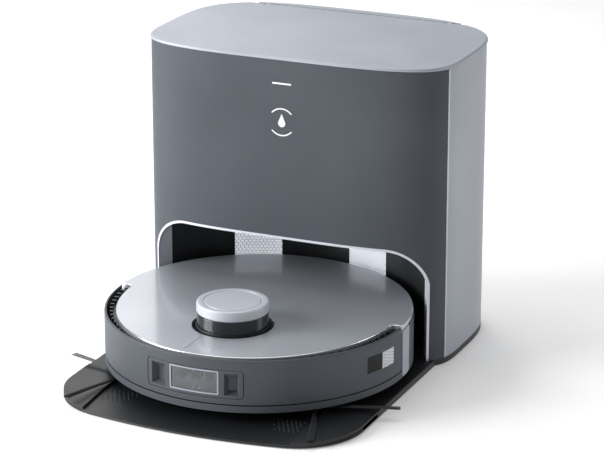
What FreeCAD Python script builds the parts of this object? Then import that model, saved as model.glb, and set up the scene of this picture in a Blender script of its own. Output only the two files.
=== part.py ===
import FreeCAD, Part
import math
import os

# Robot vacuum parked in its washing and charging station.
# Millimetres. +X right, +Y to the station's back, +Z up; the origin is the centre of the
# bounding box at floor level. The robot faces -Y and leaves the station that way.

V = FreeCAD.Vector

# ---------------------------------------------------------------- driving dimensions: station
STATION_W = 390.0          # width at the widest line
STATION_H = 366.0          # height with the lid shut
WIDE_Y = 107.4             # where the plan is widest
FRONT_DEPTH = 90.0         # widest line to the middle of the front
BACK_DEPTH = 152.6         # widest line to the middle of the back
FRONT_ROUND = 3.784        # superellipse exponents of the two half plans
BACK_ROUND = 3.641
SHELL_T = 2.5
SEAM_X = STATION_W / 2 - 4.0   # front panel's half width
SEAM_GAP = 0.3
LID_EDGE_T = 4.0           # the plate, as seen all round
LID_OVERHANG = 1.0
LID_GAP = 0.5
LID_RIM_GAP = 1.2          # inner rim to casing
LID_RIM_T = 3.2
LID_RIM_DEPTH = 4.9
LID_OPEN_CLEAR = 0.45      # gap between the lid's round rear edge and the fixed bridge
HINGE_Y = 243.0
HINGE_R = 4.45
HINGE_PIN_R = 1.5
EAR_X = 118.0              # inner face of the hinge ears
EAR_T = 6.0
BRIDGE_DEPTH = 10.0        # the fixed strip behind the lid

ARCH_HALF = 176.0
ARCH_TOP = 143.5
ARCH_CORNER_R = 47.0
ARCH_RIM = 3.0
ARCH_REVEAL = 24.0
ROBOT_R = 181.0
BAY_R = ROBOT_R + 16.0     # bay wall, concentric with the parked robot
TANK_DECK_Z = 147.0
TANK_DECK_T = 3.0
TANK_INSET = 8.0
TANK_T = 2.2
TANK_TOP = STATION_H - 42.0
TANK_CAP_T = 6.0
TANK_GRIP_H = 14.0
TANK_SPLIT_GAP = 5.0
TANK_BACK_Y = 234.0
GRIP_X = 92.0              # bow handles of the tanks
GRIP_W = 18.0
GRIP_Y = (80.0, 180.0)
GRIP_LEG = 8.0
GRIP_T = 5.0
INLET_X = (46.0, 74.0)
INLET_Z = (22.0, 44.0)
INLET_DEPTH = 24.0
VENT_X = -130.0            # first of the drying-air slots
VENT_STEP = 12.0
VENT_Z = (26.0, 62.0)
DRAIN_X = 90.0
DRAIN_Y = 190.0
DRAIN_R = 9.0
EMBLEM_Z = STATION_H - 80.0
DROP_R = 4.6
DROP_TIP = 11.5
ARC_R = 17.0
ARC_T = 1.6
ARC_RAISE = 1.5
ARC_START = 10.5           # arcs begin this far above and below their centre
LIGHT_HALF = 12.0
LIGHT_Z = (STATION_H - 33.0, STATION_H - 31.0)
INLAY_DEPTH = 1.4
INLAY_PROUD = 0.2
BOARD_X = (-112.0, 30.0)
BOARD_Y = 208.0
BOARD_T = 2.0
BOARD_TOP = 120.0
SUPPLY_END = -24.0
SUPPLY_DEPTH = 43.0
SUPPLY_TOP = 60.0
CHIP_W = 20.0
PUMP_PLACES = ((62.0, 188.0), (116.0, 174.0))
PUMP_STEPS = ((20.0, 54.0), (13.0, 30.0), (4.0, 20.0))   # radius, height
FAN_PLACE = (-148.0, 165.0)
FAN_R = 27.0
FAN_EYE_R = 15.0
FAN_H = 42.0
MARKER_T = 0.8
MARKER_Z = (62.0, 113.0)
MARKERS = ((196.5, 213.5), (153.6, 170.6))   # degrees from straight ahead

# ---------------------------------------------------------------- driving dimensions: tray
TRAY_TOP = 8.0
TRAY_BOTTOM = 0.8
RAMP_HALF = 184.0
RAMP_FRONT_Y = -260.0
RAMP_CORNER_R = 80.0
RAMP_FRONT_R = 660.0
RAMP_SLOPE_Y = -196.0      # the ramp's top is level behind this line
RAMP_LIP = 2.6
WING_H = 3.4               # raised facets at the ramp's front corners
WING_W = 55.5
WING_BACK_Y = -128.0
FOOT_R = 9.0
FOOT_H = 2.0
FOOT_X = 150.0
FOOT_Y = (-190.0, 20.0, 200.0)
BASIN_HALF = 126.0
BASIN_FRONT = -14.0
BASIN_BACK = 109.0
BASIN_FLOOR = 2.6
BASIN_T = 1.4

# ---------------------------------------------------------------- driving dimensions: robot
ROBOT_Y = -47.4            # parked centre
PARK_GAP = 0.3             # wheels to tray
ROBOT_Z = TRAY_TOP + PARK_GAP
FLOOR_CLEAR = 12.0         # chassis underside above the wheels' contact level
CHASSIS_T = 3.0
LIP_TOP = 20.0
WALL_T = 2.8
DECK_Z = 66.0
DECK_T = 3.0
DECK_R = ROBOT_R - 6.4
DECK_WALL_T = 2.2
COVER_TOP = 75.0
COVER_SKIN = 2.6
COVER_GAP = 0.4
COVER_BACK_R = ROBOT_R - 1.0
COVER_FRONT_HALF = ROBOT_R - 15.0
COVER_FRONT_LEN = ROBOT_R - 6.6
BUMPER_TOP = 74.0
BUMPER_T = 2.6
BUMPER_BOTTOM = LIP_TOP + 1.0
BUMPER_END = 88.7          # degrees from straight ahead
PILLAR_START = 90.2
PILLAR_END = 98.1

BEZEL_HALF = 19.3          # degrees
BEZEL_Z = (28.0, 62.0)
BEZEL_DEPTH = 9.0
EYE_WINDOW = (-9.2, 10.2)
EYE_WINDOW_Z = (31.5, 60.0)
WELLS = ((-17.3, -11.2), (12.0, 17.6))
WELL_Z = (31.0, 59.0)
WELL_DEPTH = 7.0
LENS_ANGLES = (-4.6, 1.5)
LENS_Z = 51.0
LENS_R = 5.5
MODULE_BACK_R = ROBOT_R - 23.0
SIDE_WINDOW = (67.1, 74.9)
SIDE_WINDOW_Z = (39.0, 59.0)
SIDE_MARK = (75.3, 82.8)
SIDE_MARK_Z = (38.5, 58.5)

TURRET_Y = -72.0           # from the robot's centre
TURRET_R = 41.8
TURRET_HOLE_R = TURRET_R + 5.2
TURRET_FLANGE_R = TURRET_R + 1.2
TURRET_BAND_Z = (76.4, 91.0)
TURRET_BAND_T = 2.2
TURRET_CAP_Z = (92.2, 104.0)
TURRET_CAP_T = 2.5
ROTOR_R = TURRET_R - 8.8
ROTOR_Z = (72.0, 85.0)
ROTOR_SHAFT_R = 9.0

BUTTON_X = (-16.0, 16.0)
BUTTON_Y = (-165.0, -124.0)
BUTTON_LOW = 70.2

BIN_HALF = 76.0
BIN_Y = (28.0, 74.0)
BIN_Z = (20.0, 65.5)
BIN_T = 2.0

BRUSH_Y = -3.0
BRUSH_Z = 23.0
BRUSH_R = 20.4
BRUSH_CORE_R = 13.0
BRUSH_HALF = 74.0
BRUSH_FINS = 6
HOUSING_HALF = BRUSH_HALF + 6.5
HOUSING_Y = (-28.0, 22.0)
HOUSING_TOP = 48.0
HOUSING_BORE = BRUSH_R + 2.0

WHEEL_X = 102.0            # inner face
WHEEL_Y = 12.0             # behind the robot's centre, clear of the side brushes' sweep
WHEEL_W = 18.0
WHEEL_R = 33.0
AXLE_R = 4.0
ARM_X = (84.0, 99.5)
ARM_Y = (WHEEL_Y - 6.0, WHEEL_Y + 46.0)
ARM_Z = (21.0, 47.0)
PIVOT_Y = WHEEL_Y + 38.0
PIVOT_Z = 38.0
PIVOT_R = 3.0
WELL_X = (81.0, 124.0)
WELL_Y = (WHEEL_Y - 39.0, WHEEL_Y + 49.0)

CASTER_Y = -130.0
CASTER_R = 9.0
CASTER_W = 12.0
CASTER_TRAIL = 4.0
FORK_R = 15.0
FORK_Z = (6.0, 22.0)
FORK_STEM_R = 4.0
CASTER_AXLE_R = 1.6

SIDE_BRUSH_X = 118.0
SIDE_BRUSH_Y = -107.2
SIDE_BRUSH_REACH = 98.0
SIDE_BRUSH_TUFTS = 4
SIDE_BRUSH_START = -70.0   # degrees, right-hand brush
TUFT_W = 4.5
TUFT_Z = (5.0, 7.0)
HUB_R = 9.0
SHAFT_R = 3.0

MOP_X = 61.0
MOP_Y = 95.0
MOP_R = 58.0
MOP_PAD_Z = (0.8, 5.6)
MOP_DISC_R = MOP_R - 2.0
MOP_DISC_TOP = 9.0
MOP_SHAFT_R = 7.0
GEARBOX_HALF = 78.0
GEARBOX_Y = (76.0, 114.0)
GEARBOX_TOP = 42.0

SUCTION_PLACE = (100.0, 84.0)
BATTERY_HALF = 68.0
BATTERY_Y = (77.0, 130.0)
BATTERY_TOP = 63.0
MAIN_BOARD_X = (-125.0, -50.0)
MAIN_BOARD_Y = (-100.0, -45.0)
POST_TOP = 54.0

CONTACT_X = 18.0
CONTACT_Z = 40.0           # above the robot's contact level
PLUNGER_R = 3.0

RUN_FIT = 0.06             # radial clearance of shafts that turn
BODY_GAP = 0.3             # gap between neighbours that move apart

SHELL_TOP = STATION_H - LID_EDGE_T - LID_GAP
HINGE_Z = STATION_H - HINGE_R
TRAVEL_SPACE = 600.0       # longer than the whole object, for cutting tools


# ---------------------------------------------------------------- helpers
def box(x0, x1, y0, y1, z0, z1):
    return Part.makeBox(x1 - x0, y1 - y0, z1 - z0, V(x0, y0, z0))


def rod(r, z0, z1, x=0.0, y=0.0):
    return Part.makeCylinder(r, z1 - z0, V(x, y, z0))


def rod_x(r, x0, x1, y, z):
    return Part.makeCylinder(r, x1 - x0, V(x0, y, z), V(1, 0, 0))


def rod_y(r, y0, y1, x, z):
    return Part.makeCylinder(r, y1 - y0, V(x, y0, z), V(0, 1, 0))


def union(shapes):
    shapes = list(shapes)
    result = shapes[0].multiFuse(shapes[1:]) if len(shapes) > 1 else shapes[0]
    return result.removeSplitter()


def cut(shape, *tools):
    for tool in tools:
        shape = shape.cut(tool)
    return shape.removeSplitter()


def polar(radius, degrees, z=0.0):
    """A point about the robot's centre; 0 degrees is straight ahead (-Y), positive to +X."""
    angle = math.radians(degrees)
    return V(radius * math.sin(angle), -radius * math.cos(angle), z)


def sector(r_out, r_in, a0, a1, z0, z1):
    """A curved wall about the robot's centre."""
    middle = (a0 + a1) / 2
    edges = [
        Part.Arc(polar(r_out, a0, z0), polar(r_out, middle, z0), polar(r_out, a1, z0)).toShape(),
        Part.LineSegment(polar(r_out, a1, z0), polar(r_in, a1, z0)).toShape(),
        Part.Arc(polar(r_in, a1, z0), polar(r_in, middle, z0), polar(r_in, a0, z0)).toShape(),
        Part.LineSegment(polar(r_in, a0, z0), polar(r_out, a0, z0)).toShape(),
    ]
    return Part.Face(Part.Wire(edges)).extrude(V(0, 0, z1 - z0))


def mirrored(shape):
    return shape.mirror(V(0, 0, 0), V(1, 0, 0))


def save(name, shape):
    shape.exportStep(os.path.join("parts", name + ".step"))


def save_robot(name, shape):
    """Robot parts are drawn about the robot's own centre, on its own contact level."""
    placed = shape.copy()
    placed.translate(V(0, ROBOT_Y, ROBOT_Z))
    save(name, placed)


# ---------------------------------------------------------------- station outline
def half_plan(inset, depth, power, side):
    """One half of the plan as a smooth curve from +X to -X; side is -1 front, +1 back."""
    half = STATION_W / 2 - inset
    reach = depth - inset
    steps = 32
    points = []
    for i in range(steps + 1):
        angle = math.pi * i / steps
        c = math.cos(angle)
        s = math.sin(angle)
        x = math.copysign(abs(c) ** (2 / power), c) * half
        y = WIDE_Y + side * reach * abs(s) ** (2 / power)
        points.append(V(x, y, 0))
    points[0] = V(half, WIDE_Y, 0)
    points[-1] = V(-half, WIDE_Y, 0)
    curve = Part.BSplineCurve()
    curve.interpolate(Points=points, InitialTangent=V(0, side, 0), FinalTangent=V(0, -side, 0))
    return curve.toShape()


def plan_prism(inset, z0, z1):
    front = half_plan(inset, FRONT_DEPTH, FRONT_ROUND, -1)
    back = half_plan(inset, BACK_DEPTH, BACK_ROUND, 1)
    face = Part.Face(Part.Wire([front, back]))
    prism = face.extrude(V(0, 0, z1 - z0))
    prism.translate(V(0, 0, z0))
    return prism


def arch_prism(grow):
    """The bay's mouth as a long tunnel: flat top, two round upper corners."""
    half = ARCH_HALF + grow
    top = ARCH_TOP + grow
    radius = ARCH_CORNER_R + grow
    y = -TRAVEL_SPACE / 2
    k = radius * (1 - math.sqrt(0.5))
    low = TRAY_TOP
    corner_right = Part.Arc(V(half, y, top - radius), V(half - k, y, top - k), V(half - radius, y, top))
    corner_left = Part.Arc(V(radius - half, y, top), V(k - half, y, top - k), V(-half, y, top - radius))
    edges = [
        Part.LineSegment(V(half, y, low), V(half, y, top - radius)).toShape(),
        corner_right.toShape(),
        Part.LineSegment(V(half - radius, y, top), V(radius - half, y, top)).toShape(),
        corner_left.toShape(),
        Part.LineSegment(V(-half, y, top - radius), V(-half, y, low)).toShape(),
        Part.LineSegment(V(-half, y, low), V(half, y, low)).toShape(),
    ]
    return Part.Face(Part.Wire(edges)).extrude(V(0, TRAVEL_SPACE, 0))


def bay_prism(grow):
    wall = rod(BAY_R + grow, TRAY_TOP, ARCH_TOP + grow, 0, ROBOT_Y)
    return arch_prism(grow).common(wall)


# ---------------------------------------------------------------- station: tray
def ramp_outline():
    centre_y = RAMP_FRONT_Y + RAMP_FRONT_R
    corner_x = RAMP_HALF - RAMP_CORNER_R
    reach = RAMP_FRONT_R - RAMP_CORNER_R
    corner_y = centre_y - math.sqrt(reach ** 2 - corner_x ** 2)
    turn = math.atan2(corner_x, centre_y - corner_y)
    meet = V(RAMP_FRONT_R * math.sin(turn), centre_y - RAMP_FRONT_R * math.cos(turn), 0)
    half_turn = (math.pi / 2 - turn) / 2 + turn
    middle_x = corner_x + RAMP_CORNER_R * math.sin(half_turn)
    middle = V(middle_x, corner_y - RAMP_CORNER_R * math.cos(half_turn), 0)
    back_y = WIDE_Y - FRONT_DEPTH / 2
    side = V(RAMP_HALF, corner_y, 0)

    def flip(p):
        return V(-p.x, p.y, 0)

    edges = [
        Part.LineSegment(V(RAMP_HALF, back_y, 0), side).toShape(),
        Part.Arc(side, middle, meet).toShape(),
        Part.Arc(meet, V(0, RAMP_FRONT_Y, 0), flip(meet)).toShape(),
        Part.Arc(flip(meet), flip(middle), flip(side)).toShape(),
        Part.LineSegment(flip(side), V(-RAMP_HALF, back_y, 0)).toShape(),
        Part.LineSegment(V(-RAMP_HALF, back_y, 0), V(RAMP_HALF, back_y, 0)).toShape(),
    ]
    return Part.Face(Part.Wire(edges))


def ramp_slope_tool():
    """Everything above the sloping front of the ramp."""
    far = RAMP_FRONT_Y - 20.0
    slope = (TRAY_TOP - RAMP_LIP) / (RAMP_SLOPE_Y - RAMP_FRONT_Y)
    far_z = RAMP_LIP - slope * 20.0
    high = TRAY_TOP + 40.0
    points = [
        V(-RAMP_HALF - 20, RAMP_SLOPE_Y, TRAY_TOP),
        V(-RAMP_HALF - 20, far, far_z),
        V(-RAMP_HALF - 20, far, high),
        V(-RAMP_HALF - 20, RAMP_SLOPE_Y, high),
    ]
    face = Part.Face(Part.makePolygon(points + [points[0]]))
    return face.extrude(V(2 * RAMP_HALF + 40, 0, 0))


def wing(side):
    """The raised facet that guides the robot at one front corner; its top follows the ramp."""
    inner = RAMP_HALF - WING_W
    prism = ramp_outline().extrude(V(0, 0, TRAY_TOP + WING_H))
    prism = prism.cut(ramp_slope_tool().translated(V(0, 0, WING_H)))
    zone = box(inner, RAMP_HALF + 1, RAMP_FRONT_Y, WING_BACK_Y, RAMP_LIP, TRAY_TOP + WING_H)
    facet = prism.common(zone)
    return facet if side > 0 else mirrored(facet)


def foot_places():
    return [(x, y) for x in (-FOOT_X, FOOT_X) for y in FOOT_Y]


def base_tray():
    ramp = ramp_outline().extrude(V(0, 0, TRAY_TOP - TRAY_BOTTOM))
    ramp.translate(V(0, 0, TRAY_BOTTOM))
    ramp = ramp.cut(ramp_slope_tool())
    tray = union([ramp, plan_prism(0, TRAY_BOTTOM, TRAY_TOP), wing(1), wing(-1)])
    pocket = box(-BASIN_HALF, BASIN_HALF, BASIN_FRONT, BASIN_BACK, BASIN_FLOOR - BASIN_T, TRAY_TOP)
    feet = [rod(FOOT_R, 0, FOOT_H, x, y) for x, y in foot_places()]
    return cut(tray, pocket, *feet)


def station_feet():
    return Part.makeCompound([rod(FOOT_R, 0, FOOT_H, x, y) for x, y in foot_places()])


def wash_basin():
    dish = box(-BASIN_HALF, BASIN_HALF, BASIN_FRONT, BASIN_BACK, BASIN_FLOOR - BASIN_T, TRAY_TOP)
    hollow = box(-BASIN_HALF + 3, BASIN_HALF - 3, BASIN_FRONT + 3, BASIN_BACK - 3, BASIN_FLOOR, TRAY_TOP)
    ribs = []
    for side in (-1, 1):
        for turn in range(0, 180, 30):
            rib = box(-MOP_R + 6, MOP_R - 6, -1.2, 1.2, BASIN_FLOOR - 0.5, TRAY_TOP)
            rib.rotate(V(0, 0, 0), V(0, 0, 1), turn)
            rib.translate(V(side * MOP_X, ROBOT_Y + MOP_Y, 0))
            ribs.append(rib)
    return union([dish.cut(hollow)] + ribs)


# ---------------------------------------------------------------- station: casing
def shell_ring():
    return plan_prism(0, TRAY_TOP, SHELL_TOP).cut(plan_prism(SHELL_T, TRAY_TOP, SHELL_TOP))


def front_zone(half):
    return box(-half, half, -TRAVEL_SPACE, WIDE_Y - FRONT_DEPTH / 2, 0, TRAVEL_SPACE)


def inlay(shapes):
    """Thin pieces let into the middle of the front panel."""
    y = WIDE_Y - FRONT_DEPTH
    return [shape.translated(V(0, y, 0)) for shape in shapes]


def drop_emblem():
    """A plain water-drop between two arcs."""
    face_y = -INLAY_PROUD
    angle = math.acos(DROP_R / DROP_TIP)
    side_x = DROP_R * math.sin(angle)
    side_z = EMBLEM_Z + DROP_R * math.cos(angle)
    left = V(-side_x, face_y, side_z)
    right = V(side_x, face_y, side_z)
    tip = V(0, face_y, EMBLEM_Z + DROP_TIP)
    edges = [
        Part.LineSegment(tip, left).toShape(),
        Part.Arc(left, V(0, face_y, EMBLEM_Z - DROP_R), right).toShape(),
        Part.LineSegment(right, tip).toShape(),
    ]
    drop = Part.Face(Part.Wire(edges)).extrude(V(0, INLAY_DEPTH, 0))
    centre_z = EMBLEM_Z + ARC_RAISE
    outer = rod_y(ARC_R, face_y, face_y + INLAY_DEPTH, 0, centre_z)
    ring = outer.cut(rod_y(ARC_R - ARC_T, face_y, face_y + INLAY_DEPTH, 0, centre_z))
    lower = box(-ARC_R, ARC_R, -ARC_R, ARC_R, centre_z - ARC_R, centre_z - ARC_START)
    upper = box(-ARC_R, ARC_R, -ARC_R, ARC_R, centre_z + ARC_START, centre_z + ARC_R)
    return inlay([drop, ring.common(lower), ring.common(upper)])


def status_light():
    y0 = -INLAY_PROUD
    return inlay([box(-LIGHT_HALF, LIGHT_HALF, y0, y0 + INLAY_DEPTH, *LIGHT_Z)])


def front_panel():
    panel = shell_ring().common(front_zone(SEAM_X))
    return cut(panel, bay_prism(ARCH_RIM), arch_prism(ARCH_RIM), *drop_emblem(), *status_light())


def hinge_ears():
    """The two ears behind the lid that hold the hinge pin."""
    front = HINGE_Y + HINGE_R + LID_OPEN_CLEAR
    low = SHELL_TOP - BRIDGE_DEPTH
    ears = []
    for x0 in (-EAR_X - EAR_T, EAR_X):
        knuckle = rod_x(HINGE_R, x0, x0 + EAR_T, HINGE_Y, HINGE_Z)
        lower = box(x0, x0 + EAR_T, HINGE_Y - HINGE_R, front + 1, low, HINGE_Z)
        upper = box(x0, x0 + EAR_T, HINGE_Y, front + 1, low, STATION_H)
        ears.append(union([knuckle, lower, upper]))
    return ears


def inlet_pocket():
    back = WIDE_Y + BACK_DEPTH
    return box(*INLET_X, back - INLET_DEPTH, back + 2, *INLET_Z)


def rear_vents():
    """Slots low in the back for the drying air."""
    back = WIDE_Y + BACK_DEPTH
    starts = [VENT_X + VENT_STEP * i for i in range(10)]
    return [box(x, x + VENT_STEP / 2, back - INLET_DEPTH, back + 2, *VENT_Z) for x in starts]


def rear_shell():
    """The casing's sides and back, with the fixed bridge behind the lid."""
    wide = STATION_W
    bridge_y = HINGE_Y + HINGE_R + LID_OPEN_CLEAR
    bridge_low = SHELL_TOP - BRIDGE_DEPTH
    shell = plan_prism(0, TRAY_TOP, STATION_H)
    above = box(-wide, wide, -wide, bridge_y, SHELL_TOP, STATION_H + 1)
    inside = plan_prism(SHELL_T, TRAY_TOP, bridge_low)
    before_bridge = box(-wide, wide, -wide, bridge_y, bridge_low, SHELL_TOP)
    mouth = plan_prism(SHELL_T, bridge_low, SHELL_TOP).common(before_bridge)
    barrel_room = rod_x(HINGE_R + LID_OPEN_CLEAR, -wide, wide, HINGE_Y, HINGE_Z)
    for tool in (above, inside, mouth, front_zone(SEAM_X + SEAM_GAP), barrel_room):
        shell = shell.cut(tool)
    shell = shell.multiFuse(hinge_ears())
    pin_hole = rod_x(HINGE_PIN_R, -EAR_X - EAR_T, EAR_X + EAR_T, HINGE_Y, HINGE_Z)
    for tool in [pin_hole, inlet_pocket()] + rear_vents():
        shell = shell.cut(tool)
    return shell


def mains_inlet():
    back = WIDE_Y + BACK_DEPTH
    x0, x1 = INLET_X
    z0, z1 = INLET_Z
    body = box(x0, x1, back - INLET_DEPTH, back - 0.6, z0, z1)
    socket = box(x0 + 4, x1 - 4, back - 18, back, z0 + 4, z1 - 4)
    middle = (x0 + x1) / 2
    pins = [rod_y(1.6, back - 20, back - 6, x, (z0 + z1) / 2) for x in (middle - 4.5, middle + 4.5)]
    return union([body.cut(socket)] + pins)


def arch_trim():
    ring = bay_prism(ARCH_RIM).cut(bay_prism(0))
    depth = plan_prism(0, TRAY_TOP, STATION_H)
    return cut(ring.common(depth), depth.translated(V(0, ARCH_REVEAL, 0)))


def contact_block():
    y = ROBOT_Y + ROBOT_R + 2.4
    z = ROBOT_Z + CONTACT_Z
    return box(-2 * CONTACT_X, 2 * CONTACT_X, y, ROBOT_Y + BAY_R + 1, z - 10, z + 10)


def bay_liner():
    ring = bay_prism(ARCH_RIM).cut(bay_prism(0))
    inside = plan_prism(0, TRAY_TOP, STATION_H).translated(V(0, ARCH_REVEAL, 0))
    liner = union([ring.common(inside).common(plan_prism(SHELL_T, 0, STATION_H)), contact_block()])
    y = ROBOT_Y + ROBOT_R
    z = ROBOT_Z + CONTACT_Z
    bores = [rod_y(PLUNGER_R + RUN_FIT, y, ROBOT_Y + BAY_R + 0.5, side * CONTACT_X, z) for side in (-1, 1)]
    return cut(liner, *bores, *dock_marker_solids())


def charge_plungers():
    """Two sprung pins; at rest their tips stand just off the robot's contact plates."""
    z = ROBOT_Z + CONTACT_Z
    inner = CONTACT_X - PLUNGER_R
    tip = ROBOT_Y + math.sqrt(ROBOT_R ** 2 - inner ** 2) + BODY_GAP
    end = ROBOT_Y + BAY_R - 2.5
    return Part.makeCompound([rod_y(PLUNGER_R, tip, end, side * CONTACT_X, z) for side in (-1, 1)])


def dock_marker_solids():
    """Reflective guide patches let into the bay's back wall."""
    place = V(0, ROBOT_Y, 0)
    return [sector(BAY_R + MARKER_T, BAY_R, a0, a1, *MARKER_Z).translated(place) for a0, a1 in MARKERS]


def station_lid():
    low = STATION_H - LID_EDGE_T
    rim_low = low - LID_RIM_DEPTH
    wide = STATION_W
    plan = plan_prism(-LID_OVERHANG, rim_low, STATION_H)
    plate = plan_prism(-LID_OVERHANG, low, STATION_H).common(box(-wide, wide, -wide, HINGE_Y, low, STATION_H))
    rim_inset = SHELL_T + LID_RIM_GAP
    rim = plan_prism(rim_inset, rim_low, low).cut(plan_prism(rim_inset + LID_RIM_T, rim_low, low))
    rim = rim.common(box(-wide, wide, -wide, HINGE_Y - 12, rim_low, low))
    edge_half = EAR_X + EAR_T + 12.0
    barrel = rod_x(HINGE_R, -edge_half, edge_half, HINGE_Y, HINGE_Z).common(plan)
    notches = []
    for x0 in (-EAR_X - EAR_T, EAR_X):
        notches.append(box(x0 - 0.5, x0 + EAR_T + 0.5, HINGE_Y - HINGE_R - 0.6, wide, 0, STATION_H + 1))
    bore = rod_x(HINGE_PIN_R + RUN_FIT, -edge_half, edge_half, HINGE_Y, HINGE_Z)
    return cut(union([plate, rim, barrel]), bore, *notches)


def hinge_pin():
    return rod_x(HINGE_PIN_R, -EAR_X - EAR_T, EAR_X + EAR_T, HINGE_Y, HINGE_Z)


# ---------------------------------------------------------------- station: inside
def tank_deck():
    z1 = TANK_DECK_Z + TANK_DECK_T
    deck = plan_prism(SHELL_T, TANK_DECK_Z, z1)
    drains = [rod(DRAIN_R, TANK_DECK_Z, z1, x, DRAIN_Y) for x in (-DRAIN_X, DRAIN_X)]
    return cut(deck, *drains)


def tank_zone(side, grow):
    x = sorted((side * (TANK_SPLIT_GAP / 2 - grow), side * TRAVEL_SPACE))
    return box(x[0], x[1], -TRAVEL_SPACE, TANK_BACK_Y + grow, 0, TRAVEL_SPACE)


def tank(side):
    low = TANK_DECK_Z + TANK_DECK_T
    outer = plan_prism(TANK_INSET, low, TANK_TOP).common(tank_zone(side, 0))
    inner = plan_prism(TANK_INSET + TANK_T, low + TANK_T, TANK_TOP).common(tank_zone(side, -TANK_T))
    return cut(outer, inner)


def tank_cap(side):
    """The tank's cover, with a bow to lift it by."""
    plate = plan_prism(TANK_INSET, TANK_TOP, TANK_TOP + TANK_CAP_T).common(tank_zone(side, 0))
    low = TANK_TOP + TANK_CAP_T
    top = low + TANK_GRIP_H
    x0 = side * GRIP_X - GRIP_W / 2
    y0, y1 = GRIP_Y
    bow = box(x0, x0 + GRIP_W, y0, y1, low - 1, top)
    gap = box(x0 - 1, x0 + GRIP_W + 1, y0 + GRIP_LEG, y1 - GRIP_LEG, low, top - GRIP_T)
    return union([plate, bow.cut(gap)])


def power_board():
    """The supply's case with its board standing behind it."""
    x0, x1 = BOARD_X
    y1 = BOARD_Y + BOARD_T
    supply = box(x0, SUPPLY_END, BOARD_Y - SUPPLY_DEPTH, BOARD_Y, TRAY_TOP, SUPPLY_TOP)
    board = box(x0, x1, BOARD_Y, y1, TRAY_TOP, BOARD_TOP)
    starts = [x0 + CHIP_W / 2 + 1.6 * CHIP_W * i for i in range(4)]
    low = SUPPLY_TOP + CHIP_W / 2
    chips = [box(x, x + CHIP_W, BOARD_Y - 4, BOARD_Y, low, low + 16) for x in starts]
    return union([supply, board] + chips)


def pump_pair():
    pumps = []
    for x, y in PUMP_PLACES:
        steps = []
        low = TRAY_TOP
        for radius, height in PUMP_STEPS:
            steps.append(rod(radius, low, low + height, x, y))
            low += height
        pumps.append(union(steps))
    return Part.makeCompound(pumps)


def dryer_fan():
    x, y = FAN_PLACE
    scroll = rod(FAN_R, TRAY_TOP, TRAY_TOP + FAN_H, x, y)
    eye = rod(FAN_EYE_R, TRAY_TOP + FAN_H - 16, TRAY_TOP + FAN_H, x, y)
    duct = box(x - 22, x + 8, y - 65, y - 15, TRAY_TOP, TRAY_TOP + FAN_H - 16)
    return cut(union([scroll, duct]), eye)


# ---------------------------------------------------------------- robot: frame
def side_pair(shape):
    return [shape, mirrored(shape)]


def main_brush_window():
    return box(-HOUSING_HALF + 4, HOUSING_HALF - 4, HOUSING_Y[0] + 3, HOUSING_Y[1] - 3, 0, LIP_TOP)


def screw_places():
    outer = [(x, y) for x in (-140.0, 140.0) for y in (-60.0, 62.0)]
    return outer + [(-42.0, -150.0), (42.0, -150.0), (-30.0, 165.0), (30.0, 165.0)]


def board_post_places():
    return [(x, y) for x in (-98.0, -55.0) for y in (-95.0, -72.0)]


def chassis():
    z0 = FLOOR_CLEAR
    z1 = z0 + CHASSIS_T
    floor = rod(ROBOT_R - 5, z0, z1)
    lip = rod(ROBOT_R, z0, LIP_TOP).cut(rod(ROBOT_R - 8, z0, LIP_TOP))
    cup = rod(FORK_R + BODY_GAP + 3, z0, FORK_Z[1] + 14, 0, CASTER_Y)
    posts = [rod(3, z1, POST_TOP, x, y) for x, y in board_post_places()]
    rests = [box(x - 5, x + 5, BIN_Y[0] + 8, BIN_Y[1] - 8, z1 - 1, BIN_Z[0]) for x in (-60.0, 60.0)]
    lugs = []
    pins = []
    for side in (-1, 1):
        x0, x1 = sorted((side * 77.5, side * (ARM_X[0] - 0.6)))
        lugs.append(box(x0, x1, PIVOT_Y - 7, PIVOT_Y + 7, z1 - 1, PIVOT_Z + 8))
        x0, x1 = sorted((side * (ARM_X[0] - 2), side * (ARM_X[1] - 1)))
        pins.append(rod_x(PIVOT_R, x0, x1, PIVOT_Y, PIVOT_Z))
    body = union([floor, lip, cup] + posts + rests)
    wells = []
    for side in (-1, 1):
        x0, x1 = sorted((side * WELL_X[0], side * WELL_X[1]))
        wells.append(box(x0, x1, WELL_Y[0], WELL_Y[1], z0 - 1, z1))
    shafts = [rod(HUB_R - 3, z0, z1, side * SIDE_BRUSH_X, SIDE_BRUSH_Y) for side in (-1, 1)]
    shafts += [rod(MOP_SHAFT_R + 1.5, z0, z1, side * MOP_X, MOP_Y) for side in (-1, 1)]
    fork_room = rod(FORK_R + BODY_GAP, 0, FORK_Z[1] + BODY_GAP, 0, CASTER_Y)
    stem_bore = rod(FORK_STEM_R + RUN_FIT, 0, FORK_Z[1] + 14, 0, CASTER_Y)
    screws = [rod(1.5, z0, z1, x, y) for x, y in screw_places()]
    notches = side_pair(sector(ROBOT_R + 1, ROBOT_R - WALL_T, PILLAR_START, PILLAR_END, z0 - 1, LIP_TOP + 1))
    body = cut(body, main_brush_window(), fork_room, stem_bore, *wells, *shafts, *screws, *notches)
    return union([body] + lugs + pins)


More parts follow.
